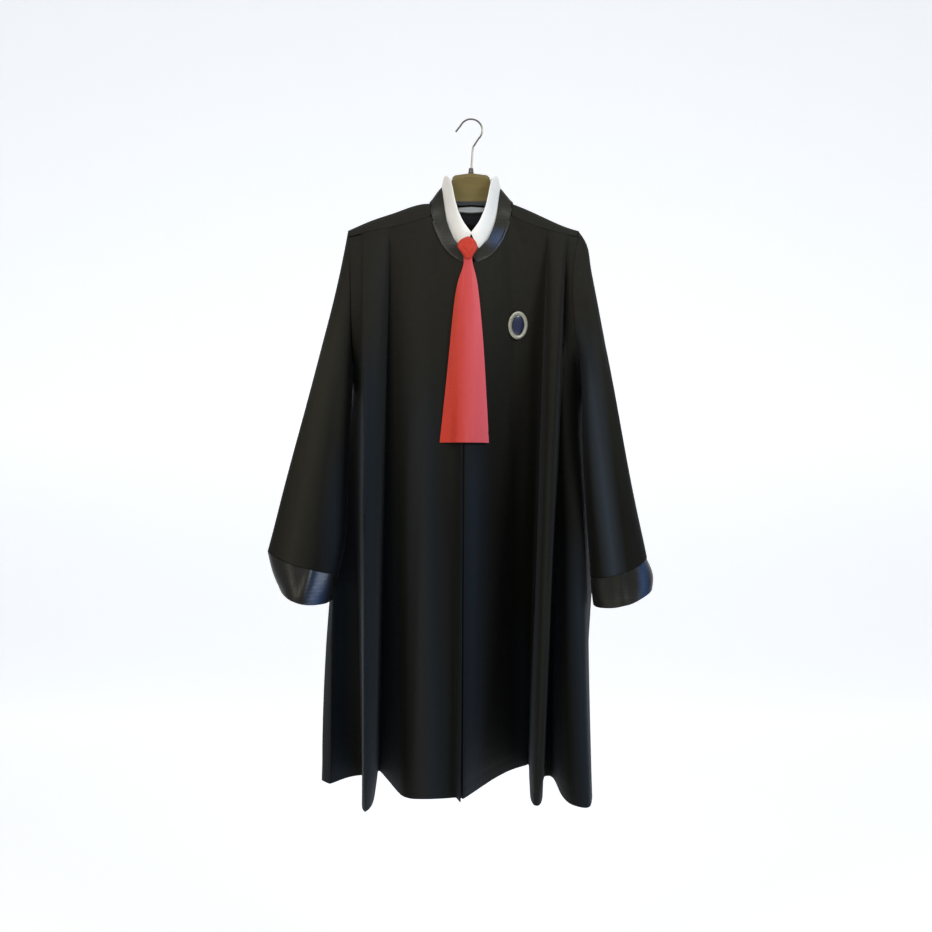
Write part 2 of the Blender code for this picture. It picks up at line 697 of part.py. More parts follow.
def on_panel(grid, x, z):
    """The place on a panel's outer face with this x and z, the normal there, and how far off it lies."""
    best = None
    for i in range(grid.shape[0] - 1):
        for j in range(grid.shape[1] - 1):
            corner, across, down = grid[i, j], grid[i, j + 1] - grid[i, j], grid[i + 1, j] - grid[i, j]
            frame = np.array(((across[0], down[0]), (across[2], down[2])))
            if abs(np.linalg.det(frame)) < 1e-12:
                continue
            share = np.linalg.solve(frame, (x - corner[0], z - corner[2]))
            miss = np.abs(share - np.clip(share, 0, 1)).sum()
            if best is None or miss < best[0]:
                normal = np.cross(down, across)
                best = (miss, corner + share @ np.array((across, down)), normal / np.linalg.norm(normal))
    place, normal = best[1], best[2]
    return place, normal if normal[1] < 0 else -normal, best[0]


def badge(panel, rim_finish, centre_finish):
    """The oval badge: a raised rim round an enamelled centre, flat on the right front."""
    middle, _, _ = on_panel(panel, BADGE_X * MM, BADGE_Z * MM)
    ends = [
        on_panel(panel, (BADGE_X + wide) * MM, (BADGE_Z + tall) * MM)[0]
        for wide, tall in (
            (-BADGE_HALF_WIDTH, 0), (BADGE_HALF_WIDTH, 0), (0, BADGE_HALF_HEIGHT), (0, -BADGE_HALF_HEIGHT),
        )
    ]
    normal = np.cross(ends[2] - ends[3], ends[1] - ends[0])
    normal /= -np.linalg.norm(normal) if normal[1] > 0 else np.linalg.norm(normal)
    up = np.array((0, 0, 1)) - normal * normal[2]
    up /= np.linalg.norm(up)
    across = np.cross(normal, up)
    outline = [
        (math.cos(2 * math.pi * k / BADGE_POINTS), math.sin(2 * math.pi * k / BADGE_POINTS))
        for k in range(BADGE_POINTS)
    ]

    def oval(inset, height):
        wide, tall = BADGE_HALF_WIDTH - inset, BADGE_HALF_HEIGHT - inset
        return [middle + (across * wide * c + up * tall * s + normal * height) * MM for c, s in outline]

    near = panel[(np.abs(panel - middle)[..., ::2] < 1.6 * BADGE_HALF_HEIGHT * MM).all(axis=-1)]
    for place in oval(0, 0) + oval(BADGE_RIM, 0):
        near = np.vstack([near, on_panel(panel, place[0], place[2])[0]])
    offset = near - middle
    within = (offset @ across / BADGE_HALF_WIDTH) ** 2 + (offset @ up / BADGE_HALF_HEIGHT) ** 2
    lift = BADGE_GAP + float((offset @ normal)[within < 1.05 * MM**2].max()) / MM
    top = BADGE_RIM_HEIGHT
    profile = ((0, 0), (0, 1.6), (1.6, top), (BADGE_RIM - 1.4, top), (BADGE_RIM, 0))
    rings = [oval(inset, lift + height) for inset, height in profile]
    count = BADGE_POINTS
    faces = []
    for i in range(len(rings)):
        for j in range(count):
            k = (j + 1) % count
            m = (i + 1) % len(rings)
            faces.append((i * count + j, i * count + k, m * count + k, m * count + j))
    solid("badge_rim", np.concatenate(rings), faces, rim_finish)
    low, high = BADGE_RIM + 0.3, BADGE_RIM - 0.2
    loft("badge_centre", [oval(low, lift), oval(high, lift + BADGE_CENTRE_HEIGHT)], centre_finish)


def neck_label(yoke, finish):
    """The bare label inside the yoke, below the back of the neck."""
    grid = []
    for z in np.linspace(LABEL_TOP_Z, LABEL_TOP_Z - LABEL_HEIGHT, 4):
        row = []
        for x in np.linspace(-LABEL_WIDTH / 2, LABEL_WIDTH / 2, 7):
            middle = yoke.shape[1] // 2
            reach = yoke[:, middle - 6 : middle + 7]
            place, normal, _ = on_panel(reach, x * MM, z * MM)
            inside = normal * (CLOTH + LABEL_GAP) * MM
            row.append(place + inside)
        grid.append(row)
    wall("neck_label", grid, LABEL_THICKNESS, finish, inward=-1)


def rounded_section(x, top, bottom, half_depth):
    """A hanger section at x: an upright rounded bar."""
    middle, half = (top + bottom) / 2, (top - bottom) / 2
    ring = []
    for step in range(12):
        angle = 2 * math.pi * step / 12
        cosine, sine = math.cos(angle), math.sin(angle)
        ring.append(point(
            x,
            math.copysign(abs(cosine) ** 0.6, cosine) * half_depth,
            middle + math.copysign(abs(sine) ** 0.6, sine) * half,
        ))
    return ring


def tube(name, path, radius, finish):
    """A wire as a curve with round section and filled ends."""
    curve = bpy.data.curves.new(name, "CURVE")
    curve.dimensions = "3D"
    curve.bevel_depth = radius * MM
    curve.bevel_resolution = 2
    curve.use_fill_caps = True
    spline = curve.splines.new("POLY")
    spline.points.add(len(path) - 1)
    for place, (x, z) in zip(spline.points, path):
        place.co = (x * MM, 0, z * MM, 1)
    curve.materials.append(finish)
    made = bpy.data.objects.new(name, curve)
    bpy.context.scene.collection.objects.link(made)


def hook(finish):
    """The hook's wire: a flared tip, the round top, and the shank down to the ferrule."""
    middle_z = WIRE_RADIUS - HOOK_RADIUS
    turns = np.radians(np.linspace(*HOOK_TURN, 22))
    round_top = [(HOOK_RADIUS * math.cos(a), middle_z + HOOK_RADIUS * math.sin(a)) for a in turns]
    bend = through([round_top[-1], *SHANK], 14)[1:]
    tube("hanger_hook", [HOOK_TIP, *round_top, *map(tuple, bend)], WIRE_RADIUS, finish)


def ferrule(finish):
    """The short collar between the hook's shank and the wood."""
    sections = []
    for z, radius in ((FERRULE_BOTTOM + 0.6, 5.4), (FERRULE_TOP - 5, 5.0), (FERRULE_TOP, FERRULE_RADIUS)):
        turns = np.linspace(0, 2 * math.pi, 16, endpoint=False)
        sections.append([point(radius * math.cos(a), radius * math.sin(a), z) for a in turns])
    loft("hanger_ferrule", sections, finish)


def build():
    for old in list(bpy.data.objects):
        bpy.data.objects.remove(old)
    cloth = material("black cloth", (0.022, 0.024, 0.027), 0.8)
    satin = material("black satin", (0.02, 0.022, 0.027), 0.35)
    white = material("white cotton", (0.86, 0.87, 0.88), 0.8)
    red = material("red satin", (0.62, 0.07, 0.07), 0.45)
    wood = material("dark wood", (0.06, 0.05, 0.035), 0.5)
    steel = material("steel wire", (0.45, 0.45, 0.46), 0.3, 1.0)
    rim = material("badge rim", (0.55, 0.54, 0.47), 0.4, 0.6)
    navy = material("badge enamel", (0.03, 0.04, 0.12), 0.3)

    yoke = yoke_grid()
    sewn_left, sewn_right = 2 * len(YOKE_LEFT) - 1, 2 * len(YOKE_RIGHT) - 1
    edges = [(np.s_[0, :sewn_left], BACKWARD), (np.s_[0, -sewn_right:], BACKWARD), (np.s_[-1, :], FORWARD)]
    edges += [(np.s_[:, end], armhole_ways(yoke[:, end])) for end in (0, -1)]
    wall("yoke", yoke, CLOTH, cloth, inward=-1, edges=edges)
    left = front_grid("left", LEFT_FOLDS, LEFT_SIDE)
    right = front_grid("right", RIGHT_FOLDS, RIGHT_SIDE)
    for side, front, folds, turned in (("left", left, LEFT_FOLDS, -1), ("right", right, RIGHT_FOLDS, 1)):
        corner = 2 * [fold[0] for fold in folds].index("yoke corner")
        edges = [(np.s_[0, corner:], BACKWARD), (np.s_[:, -1], side_ways(front[:, -1], side))]
        wall("front_" + side, front, CLOTH, cloth, inward=turned, edges=edges)
    back = back_grid()
    edges = [(np.s_[0, :], FORWARD)]
    edges += [(np.s_[:, end], side_ways(back[:, end], side)) for end, side in ((0, "left"), (-1, "right"))]
    wall("back", back, CLOTH, cloth, inward=-1, edges=edges)
    for side, turned in (("left", 1), ("right", -1)):
        sleeve = np.array(sleeve_grid(side))
        ways = armhole_ways(sleeve[0])
        wall("sleeve_" + side, sleeve, CLOTH, cloth, ring=True, inward=turned, edges=[(0, ways)])
        wall("cuff_" + side, cuff_grid(side), SATIN, satin, ring=True, inward=turned)
    wall("stand_collar", stand_collar_grid(), SATIN, satin)
    wall("white_collar", white_collar_grid(), COLLAR_CLOTH, white)
    knot(red)
    blade((left, right), red)
    badge(right, rim, navy)
    neck_label(yoke, satin)
    loft("hanger_body", [rounded_section(*row) for row in HANGER], wood)
    ferrule(steel)
    hook(steel)


build()
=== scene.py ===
"""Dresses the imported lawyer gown: cloth, satin, collar, neckerchief, badge and hanger, with a studio.

Lengths are in metres. X runs to the right as the gown is seen from the front, the front faces -Y and Z is up.
"""

from __future__ import annotations

import logging
import math
from dataclasses import dataclass, field
from enum import Enum

import bmesh
import bpy
import numpy as np
from mathutils import Matrix, Vector, noise


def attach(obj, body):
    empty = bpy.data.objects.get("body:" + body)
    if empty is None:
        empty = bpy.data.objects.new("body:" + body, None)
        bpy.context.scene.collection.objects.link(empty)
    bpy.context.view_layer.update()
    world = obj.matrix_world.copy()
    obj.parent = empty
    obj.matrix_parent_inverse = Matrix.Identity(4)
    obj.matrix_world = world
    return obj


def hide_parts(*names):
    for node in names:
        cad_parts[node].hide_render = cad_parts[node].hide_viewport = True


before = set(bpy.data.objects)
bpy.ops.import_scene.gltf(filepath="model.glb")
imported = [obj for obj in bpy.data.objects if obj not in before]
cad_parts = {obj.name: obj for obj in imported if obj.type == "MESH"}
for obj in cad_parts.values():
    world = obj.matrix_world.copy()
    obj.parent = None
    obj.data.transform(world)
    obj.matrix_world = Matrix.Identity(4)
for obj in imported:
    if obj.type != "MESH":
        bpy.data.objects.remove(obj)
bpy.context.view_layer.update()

LOG = logging.getLogger("lawyer_gown")
BODY = "root"


class Side(Enum):
    """The two sides of the gown, as it is seen from the front."""

    LEFT = "left"
    RIGHT = "right"

    @property
    def sign(self) -> int:
        """The sign of X on this side."""
        return -1 if self is Side.LEFT else 1


# Materials


class Graph:
    """A material's nodes, with short ways to add and join them."""

    def __init__(self, name: str) -> None:
        """Starts a material with one Principled shader.

        Args:
            name: The material's name.
        """
        self.material = bpy.data.materials.new(name)
        self.material.use_nodes = True
        self.tree = self.material.node_tree
        self.shader = self.tree.nodes["Principled BSDF"]
        self.place = self.add("ShaderNodeTexCoord").outputs["Object"]

    def add(self, kind: str, **values: object) -> bpy.types.Node:
        """Adds a node.

        Args:
            kind: The node's type.
            **values: Properties of the node, or its input values by name.

        Returns:
            The node.
        """
        node = self.tree.nodes.new(kind)
        for name, value in values.items():
            if hasattr(node, name):
                setattr(node, name, value)
            else:
                node.inputs[name.replace("_", " ")].default_value = value
        return node

    def join(self, output: bpy.types.NodeSocket, target: bpy.types.NodeSocket) -> None:
        """Joins an output to an input.

        Args:
            output: The output.
            target: The input.
        """
        self.tree.links.new(output, target)

    def noise(
        self, scale: float, detail: float = 3.0, stretch: tuple[float, float, float] = (1, 1, 1)
    ) -> bpy.types.NodeSocket:
        """A noise pattern on the object's own coordinates.

        Args:
            scale: How many blobs there are in a metre.
            detail: How many finer layers it has.
            stretch: How much denser it is along each axis.

        Returns:
            The pattern's value.
        """
        mapping = self.add("ShaderNodeMapping", Scale=stretch)
        self.join(self.place, mapping.inputs["Vector"])
        pattern = self.add("ShaderNodeTexNoise", Scale=scale, Detail=detail)
        self.join(mapping.outputs["Vector"], pattern.inputs["Vector"])
        return pattern.outputs["Fac"]

    def threads(self, across: float, turn: tuple[float, float, float]) -> bpy.types.NodeSocket:
        """Parallel threads on the object's own coordinates.

        Args:
            across: How many threads there are in a metre.
            turn: How the pattern is turned, in radians.

        Returns:
            The pattern's value.
        """
        mapping = self.add("ShaderNodeMapping", Rotation=turn)
        self.join(self.place, mapping.inputs["Vector"])
        wave = self.add("ShaderNodeTexWave", Scale=across / 20, Distortion=1.2, Detail=1.5)
        self.join(mapping.outputs["Vector"], wave.inputs["Vector"])
        return wave.outputs["Fac"]

    def mixed(self, factor: bpy.types.NodeSocket, first: tuple, second: tuple) -> bpy.types.NodeSocket:
        """A colour between two, by a pattern.

        Args:
            factor: The pattern.
            first: The colour at nought.
            second: The colour at one.

        Returns:
            The colour.
        """
        mix = self.add("ShaderNodeMix", data_type="RGBA")
        mix.inputs[6].default_value = (*first, 1)
        mix.inputs[7].default_value = (*second, 1)
        self.join(factor, mix.inputs["Factor"])
        return mix.outputs[2]

    def over(
        self, colour: bpy.types.NodeSocket, factor: bpy.types.NodeSocket, other: tuple
    ) -> bpy.types.NodeSocket:
        """Lays another colour over one, by a pattern.

        Args:
            colour: The colour beneath.
            factor: The pattern.
            other: The colour on top.

        Returns:
            The colour.
        """
        both = self.mixed(factor, (0, 0, 0), other)
        self.join(colour, both.node.inputs[6])
        return both

    def spread(self, value: bpy.types.NodeSocket, low: float, high: float) -> bpy.types.NodeSocket:
        """Spreads the part of a pattern between two values over nought to one.

        Args:
            value: The pattern.
            low: The value that becomes nought.
            high: The value that becomes one.

        Returns:
            The new pattern.
        """
        change = self.add("ShaderNodeMapRange", From_Min=low, From_Max=high)
        self.join(value, change.inputs["Value"])
        return change.outputs["Result"]

    def times(self, first: bpy.types.NodeSocket, second: bpy.types.NodeSocket) -> bpy.types.NodeSocket:
        """Two patterns multiplied.

        Args:
            first: One pattern.
            second: The other.

        Returns:
            Their product.
        """
        product = self.add("ShaderNodeMath", operation="MULTIPLY")
        self.join(first, product.inputs[0])
        self.join(second, product.inputs[1])
        return product.outputs["Value"]

    def painted_fold_highlight(self, painted_fold_highlight: PaintedFoldHighlight) -> bpy.types.NodeSocket:
        """The mask of a painted highlight: one along a soft fold's middle, falling to nought beside it and
        above its top.

        Args:
            painted_fold_highlight: The fold.

        Returns:
            The pattern.
        """
        lean = (painted_fold_highlight.foot[0] - painted_fold_highlight.top[0]) / (painted_fold_highlight.foot[1] - painted_fold_highlight.top[1])
        parts = self.add("ShaderNodeSeparateXYZ")
        self.join(self.place, parts.inputs["Vector"])
        off = self.add("ShaderNodeMath", operation="MULTIPLY_ADD")
        self.join(parts.outputs["Z"], off.inputs[0])
        off.inputs[1].default_value = -lean
        self.join(parts.outputs["X"], off.inputs[2])
        middle = painted_fold_highlight.top[0] - lean * painted_fold_highlight.top[1]
        left = self.spread(off.outputs["Value"], middle - painted_fold_highlight.half_width, middle)
        right = self.spread(off.outputs["Value"], middle + painted_fold_highlight.half_width, middle)
        fade = self.spread(parts.outputs["Z"], painted_fold_highlight.top[1] + 0.04, painted_fold_highlight.top[1] - 0.12)
        strength = self.add("ShaderNodeMath", operation="MULTIPLY")
        self.join(self.times(self.times(left, right), fade), strength.inputs[0])
        strength.inputs[1].default_value = painted_fold_highlight.strength
        return strength.outputs["Value"]

    def near(self, place: tuple[float, float, float], reach: float) -> bpy.types.NodeSocket:
        """One at a place of the object, falling to nought at this distance.

        Args:
            place: The place.
            reach: The distance.

        Returns:
            The pattern.
        """
        away = self.add("ShaderNodeVectorMath", operation="DISTANCE")
        self.join(self.place, away.inputs[0])
        away.inputs[1].default_value = place
        return self.spread(away.outputs["Value"], reach, 0)

    def ramp(self, axis: str, start: float, end: float) -> bpy.types.NodeSocket:
        """A soft change along one of the object's axes.

        Args:
            axis: The axis.
            start: Where the value is nought.
            end: Where it is one.

        Returns:
            The value.
        """
        parts = self.add("ShaderNodeSeparateXYZ")
        self.join(self.place, parts.inputs["Vector"])
        return self.spread(parts.outputs[axis], start, end)

    def bump(
        self, height: bpy.types.NodeSocket, depth: float, below: bpy.types.NodeSocket | None = None
    ) -> bpy.types.NodeSocket:
        """A bump of this depth in metres, over another one.

        Args:
            height: The bump's pattern.
            depth: Its depth.
            below: The bump beneath, if there is one.

        Returns:
            The normal.
        """
        node = self.add("ShaderNodeBump", Strength=1.0, Distance=depth)
        self.join(height, node.inputs["Height"])
        if below is not None:
            self.join(below, node.inputs["Normal"])
        return node.outputs["Normal"]


@dataclass(frozen=True)
class PaintedFoldHighlight:
    """A painted highlight along a long soft fold, where the fold would catch the light: x and z of its top
    and of its foot, and its half width.
    """

    top: tuple[float, float]
    foot: tuple[float, float]
    half_width: float
    strength: float
    colour: tuple[float, float, float] = (0.0095, 0.0150, 0.0225)


@dataclass(frozen=True)
class Woven:
    """A woven cloth: its two tones, gloss, nap and the depth of its threads and slubs, with painted light and
    shade where given: a lighter side, shade darkening it low down, highlights along folds and a sheen spot.
    """

    name: str
    tone: tuple[float, float, float]
    shade: tuple[float, float, float]
    roughness: float = 0.85
    specular: float = 0.35
    sheen: float = 0.25
    sheen_tint: tuple[float, float, float] = (0.75, 0.85, 1.0)
    anisotropy: float = 0.0
    coat: float = 0.0
    threads: float = 900.0
    thread_depth: float = 0.00012
    slub_depth: float = 0.0005
    slub_scale: float = 90.0
    # Painted light: a colour laid over one side, rising across X between the two places below.
    painted_light_side: tuple[float, float, float] | None = None
    painted_light_from: float = -0.030
    painted_light_to: float = 0.030
    # Painted shade: a darker colour laid on towards the hem.
    painted_low_shade: tuple[float, float, float] | None = None
    # Painted highlights along soft folds.
    painted_fold_highlights: tuple[PaintedFoldHighlight, ...] = ()
    # Painted highlight: a round sheen spot, with its place and its reach.
    painted_sheen: tuple[float, float, float] | None = None
    painted_sheen_place: tuple[float, float, float] = (0.0, 0.0, 0.0)
    painted_sheen_reach: float = 0.03

    def make(self) -> bpy.types.Material:
        """Builds the material.

        Returns:
            The material.
        """
        graph = Graph(self.name)
        shader = graph.shader
        colour = graph.mixed(graph.noise(60, 4), self.tone, self.shade)
        # Painted light: one side lightened along X, standing in for the light falling on that side.
        if self.painted_light_side:
            colour = graph.over(colour, graph.ramp("X", self.painted_light_from, self.painted_light_to), self.painted_light_side)
        # Painted shade: the colour darkens from the chest down to the hem, as the light falls off.
        if self.painted_low_shade:
            colour = graph.over(colour, graph.ramp("Z", -0.35, -0.80), self.painted_low_shade)
        # Painted highlights: lighter colour along soft folds, where the folds would catch the light.
        for painted_fold_highlight in self.painted_fold_highlights:
            colour = graph.over(colour, graph.painted_fold_highlight(painted_fold_highlight), painted_fold_highlight.colour)
        # Painted highlight: a round spot of colour where the satin would reflect the light.
        if self.painted_sheen:
            colour = graph.over(colour, graph.near(self.painted_sheen_place, self.painted_sheen_reach), self.painted_sheen)
        graph.join(colour, shader.inputs["Base Color"])
        shader.inputs["Roughness"].default_value = self.roughness
        shader.inputs["Specular IOR Level"].default_value = self.specular
        shader.inputs["Sheen Weight"].default_value = self.sheen
        shader.inputs["Sheen Roughness"].default_value = 0.4
        shader.inputs["Sheen Tint"].default_value = (*self.sheen_tint, 1)
        shader.inputs["Anisotropic"].default_value = self.anisotropy
        shader.inputs["Coat Weight"].default_value = self.coat
        shader.inputs["Coat Roughness"].default_value = 0.25
        warp = graph.bump(graph.threads(self.threads, (0, 0, 0)), self.thread_depth)
        weft = graph.bump(graph.threads(self.threads, (0, math.pi / 2, 0)), self.thread_depth, warp)
        slubs = graph.bump(graph.noise(self.slub_scale, 5), self.slub_depth, weft)
        graph.join(slubs, shader.inputs["Normal"])
        return graph.material


@dataclass(frozen=True)
class Metal:
    """A metal or enamel: its two tones, gloss and how worn it is."""

    name: str
    tone: tuple[float, float, float]
    shade: tuple[float, float, float]
    roughness: float
    metallic: float = 1.0
    coat: float = 0.0
    wear_scale: float = 300.0

    def make(self) -> bpy.types.Material:
        """Builds the material.

        Returns:
            The material.
        """
        graph = Graph(self.name)
        shader = graph.shader
        wear = graph.noise(self.wear_scale, 5)
        graph.join(graph.mixed(wear, self.tone, self.shade), shader.inputs["Base Color"])
        shader.inputs["Roughness"].default_value = self.roughness
        shader.inputs["Metallic"].default_value = self.metallic
        shader.inputs["Coat Weight"].default_value = self.coat
        graph.join(graph.bump(wear, 0.00008), shader.inputs["Normal"])
        return graph.material


@dataclass(frozen=True)
class Wood:
    """Lacquered wood with its grain along X, and a lower edge painted near black as shade beneath the hanger.
    """

    name: str
    tone: tuple[float, float, float]
    shade: tuple[float, float, float]
    # The colour of the painted shade along the lower edge.
    edge: tuple[float, float, float]
    underside_shade_height: float = -0.1635
    roughness: float = 0.5
    coat: float = 0.15

    def make(self) -> bpy.types.Material:
        """Builds the material.

        Returns:
            The material.
        """
        graph = Graph(self.name)
        shader = graph.shader
        grain = graph.noise(120, 6, (0.12, 1, 1))
        # Painted shade: the wood turns near black below this height.
        painted_underside_shade = graph.ramp("Z", self.underside_shade_height, self.underside_shade_height - 0.003)
        colour = graph.over(graph.mixed(grain, self.tone, self.shade), painted_underside_shade, self.edge)
        graph.join(colour, shader.inputs["Base Color"])
        shader.inputs["Roughness"].default_value = self.roughness
        shader.inputs["Specular IOR Level"].default_value = 0.3
        shader.inputs["Coat Weight"].default_value = self.coat
        shader.inputs["Coat Roughness"].default_value = 0.3
        graph.join(graph.bump(grain, 0.0003), shader.inputs["Normal"])
        return graph.material


CLOTH = Woven(
    "gown cloth", (0.0130, 0.0122, 0.0088), (0.0180, 0.0168, 0.0125), 0.75, 0.12, 0.04,
    # Painted shade darkens the gown cloth towards the hem.
    painted_low_shade=(0.0055, 0.0054, 0.0042), painted_fold_highlights=(
        # Painted highlights along the gown's folds on the fronts and sleeves.
        PaintedFoldHighlight((-0.190, -0.46), (-0.186, -1.33), 0.034, 1.0),
        PaintedFoldHighlight((-0.100, -0.50), (-0.072, -1.33), 0.045, 0.7),
        PaintedFoldHighlight((0.006, -0.60), (0.000, -1.33), 0.034, 0.9),
        PaintedFoldHighlight((0.205, -0.85), (0.216, -1.33), 0.030, 0.9),
        PaintedFoldHighlight((0.100, -1.00), (0.112, -1.33), 0.022, 0.6),
        PaintedFoldHighlight((-0.258, -0.66), (-0.264, -0.98), 0.034, 0.9),
        PaintedFoldHighlight((0.222, -0.42), (0.276, -0.90), 0.026, 1.0, (0.026, 0.034, 0.044)),
        PaintedFoldHighlight((-0.262, -0.36), (-0.345, -0.86), 0.055, 0.8, (0.026, 0.0245, 0.0170)),
        PaintedFoldHighlight((-0.170, -0.20), (-0.172, -0.60), 0.030, 0.6, (0.019, 0.0205, 0.0195)),
        PaintedFoldHighlight((-0.105, -0.30), (-0.100, -0.70), 0.030, 0.5, (0.021, 0.0200, 0.0150)),
        PaintedFoldHighlight((0.150, -0.60), (0.128, -1.25), 0.018, 0.7, (0.014, 0.0145, 0.0105)),
    ),
)
SATIN = Woven(
    "gown satin", (0.016, 0.0155, 0.011), (0.024, 0.023, 0.0175), 0.36, 0.3, 0.03,
    anisotropy=0.4, coat=0.06, thread_depth=0.00004, slub_depth=0.0005, slub_scale=60,
    # Painted highlight: a blue sheen spot on the stand collar's right side, beside the knot.
    painted_sheen=(0.02, 0.05, 0.12), painted_sheen_place=(0.054, -0.06, -0.246), painted_sheen_reach=0.032,
)
# The cuffs' satin: a darker copy of the gown satin, with painted blue highlights along a fold on each cuff.
CUFF_SATIN = Woven(
    "cuff satin", (0.0105, 0.0105, 0.0085), (0.015, 0.015, 0.0125), 0.34, 0.3, 0.03,
    anisotropy=0.4, coat=0.04, thread_depth=0.00004, slub_depth=0.0005, slub_scale=60,
    painted_fold_highlights=(
        PaintedFoldHighlight((-0.276, -0.80), (-0.300, -0.98), 0.024, 1.0, (0.016, 0.042, 0.110)),
        PaintedFoldHighlight((0.334, -0.78), (0.332, -0.98), 0.016, 1.0, (0.016, 0.042, 0.110)),
    ),
)
COTTON = Woven(
    "collar cotton", (0.82, 0.805, 0.77), (0.87, 0.86, 0.83), 0.8, 0.2, 0.05,
    threads=1400, thread_depth=0.0001, slub_depth=0.0002, slub_scale=250,
)
# The neckerchief's lighter right side is painted light: a colour ramp across X.
RED = Woven(
    "neckerchief satin", (0.50, 0.036, 0.020), (0.56, 0.046, 0.028), 0.45, 0.2, 0.06, (1.0, 0.62, 0.70),
    anisotropy=0.3, thread_depth=0.00006, slub_depth=0.0004, slub_scale=70, painted_light_side=(0.70, 0.115, 0.145),
)
KNOT_RED = Woven(
    "neckerchief knot satin", (0.50, 0.036, 0.020), (0.58, 0.048, 0.028), 0.45, 0.2, 0.06, (1.0, 0.62, 0.70),
    anisotropy=0.3, thread_depth=0.00006, slub_depth=0.0004, slub_scale=70,
)
LABEL = Woven(
    "label weave", (0.006, 0.006, 0.006), (0.011, 0.011, 0.010), 0.6, 0.3, 0.05, thread_depth=0.00005
)
# The third colour, near black, is painted shade along the hanger's lower edge.
DARK_WOOD = Wood("dark wood", (0.125, 0.092, 0.026), (0.195, 0.146, 0.046), (0.005, 0.005, 0.005))
WIRE = Metal("dull wire", (0.20, 0.19, 0.17), (0.12, 0.115, 0.10), 0.35)
PALE_METAL = Metal("pale badge metal", (0.52, 0.50, 0.41), (0.36, 0.345, 0.27), 0.5, 0.7)
ENAMEL = Metal("badge enamel", (0.010, 0.014, 0.045), (0.018, 0.024, 0.07), 0.25, 0.0, 0.6)


# Meshes


def link(name: str, mesh: bpy.types.Mesh) -> bpy.types.Object:
    """Puts a mesh in the scene as an object at the origin.

    Args:
        name: The object's name.
        mesh: The mesh.

    Returns:
        The object.
    """
    piece = bpy.data.objects.new(name, mesh)
    bpy.context.scene.collection.objects.link(piece)
    return piece


def only(piece: bpy.types.Object) -> None:
    """Leaves this piece alone selected and active.

    Args:
        piece: The piece.
    """
    bpy.ops.object.select_all(action="DESELECT")
    piece.select_set(True)
    bpy.context.view_layer.objects.active = piece


def applied(piece: bpy.types.Object, kind: str, **values: object) -> None:
    """Adds a modifier to a piece and applies it.

    Args:
        piece: The piece.
        kind: The modifier's type.
        **values: The modifier's settings.
    """
    only(piece)
    modifier = piece.modifiers.new(kind.title(), kind)
    for name, value in values.items():
        setattr(modifier, name, value)
    bpy.ops.object.modifier_apply(modifier=modifier.name)


def points_of(mesh: bpy.types.Mesh) -> np.ndarray:
    """A mesh's points as an array.

    Args:
        mesh: The mesh.

    Returns:
        One row for each point.
    """
    found = np.empty(len(mesh.vertices) * 3)
    mesh.vertices.foreach_get("co", found)
    return found.reshape(-1, 3)


def normals_of(mesh: bpy.types.Mesh) -> np.ndarray:
    """A mesh's vertex normals as an array.

    Args:
        mesh: The mesh.

    Returns:
        One row for each point.
    """
    found = np.empty(len(mesh.vertices) * 3)
    mesh.vertices.foreach_get("normal", found)
    return found.reshape(-1, 3)


def set_points(mesh: bpy.types.Mesh, points: np.ndarray) -> None:
    """Moves a mesh's points.

    Args:
        mesh: The mesh.
        points: The new places.
    """
    mesh.vertices.foreach_set("co", points.reshape(-1))
    mesh.update()


def ring_of(start: bmesh.types.BMEdge) -> tuple[list, set]:
    """The edges across a strip of four-sided faces, and the strip's faces.

    Args:
        start: One of the edges.

    Returns:
        The edges and the faces.
    """
    edges, faces, queue = {start}, set(), [start]
    while queue:
        edge = queue.pop()
        for face in edge.link_faces:
            if face in faces or len(face.verts) != 4:
                continue
            faces.add(face)
            opposite = next(e for e in face.edges if not set(e.verts) & set(edge.verts))
            if opposite not in edges:
                edges.add(opposite)
                queue.append(opposite)
    return list(edges), faces


def cut_long_rings(work: bmesh.types.BMesh, longest: float) -> None:
    """Cuts strips of faces whose edges are long on average, so that the mesh's cells become even.

    Args:
        work: The mesh.
        longest: The longest average edge that may stay.
    """
    for _ in range(4):
        used, seen, cuts = set(), set(), []
        for edge in work.edges:
            if edge in seen:
                continue
            ring, faces = ring_of(edge)
            seen.update(ring)
            mean = sum(e.calc_length() for e in ring) / len(ring)
            if mean > longest and faces and not faces & used:
                used |= faces
                cuts.append((ring, math.ceil(mean / longest) - 1))
        if not cuts:
            return
        for ring, count in cuts:
            bmesh.ops.subdivide_edges(work, edges=ring, cuts=count, use_grid_fill=True)


def furthest(faces: set, way: Vector) -> float:
    """How far out the faces that look this way reach.

    Args:
        faces: The faces.
        way: The way.

    Returns:
        The distance along the way.
    """
    return max((face.calc_center_median() @ way for face in faces if face.normal @ way > 0.3), default=-9.0)


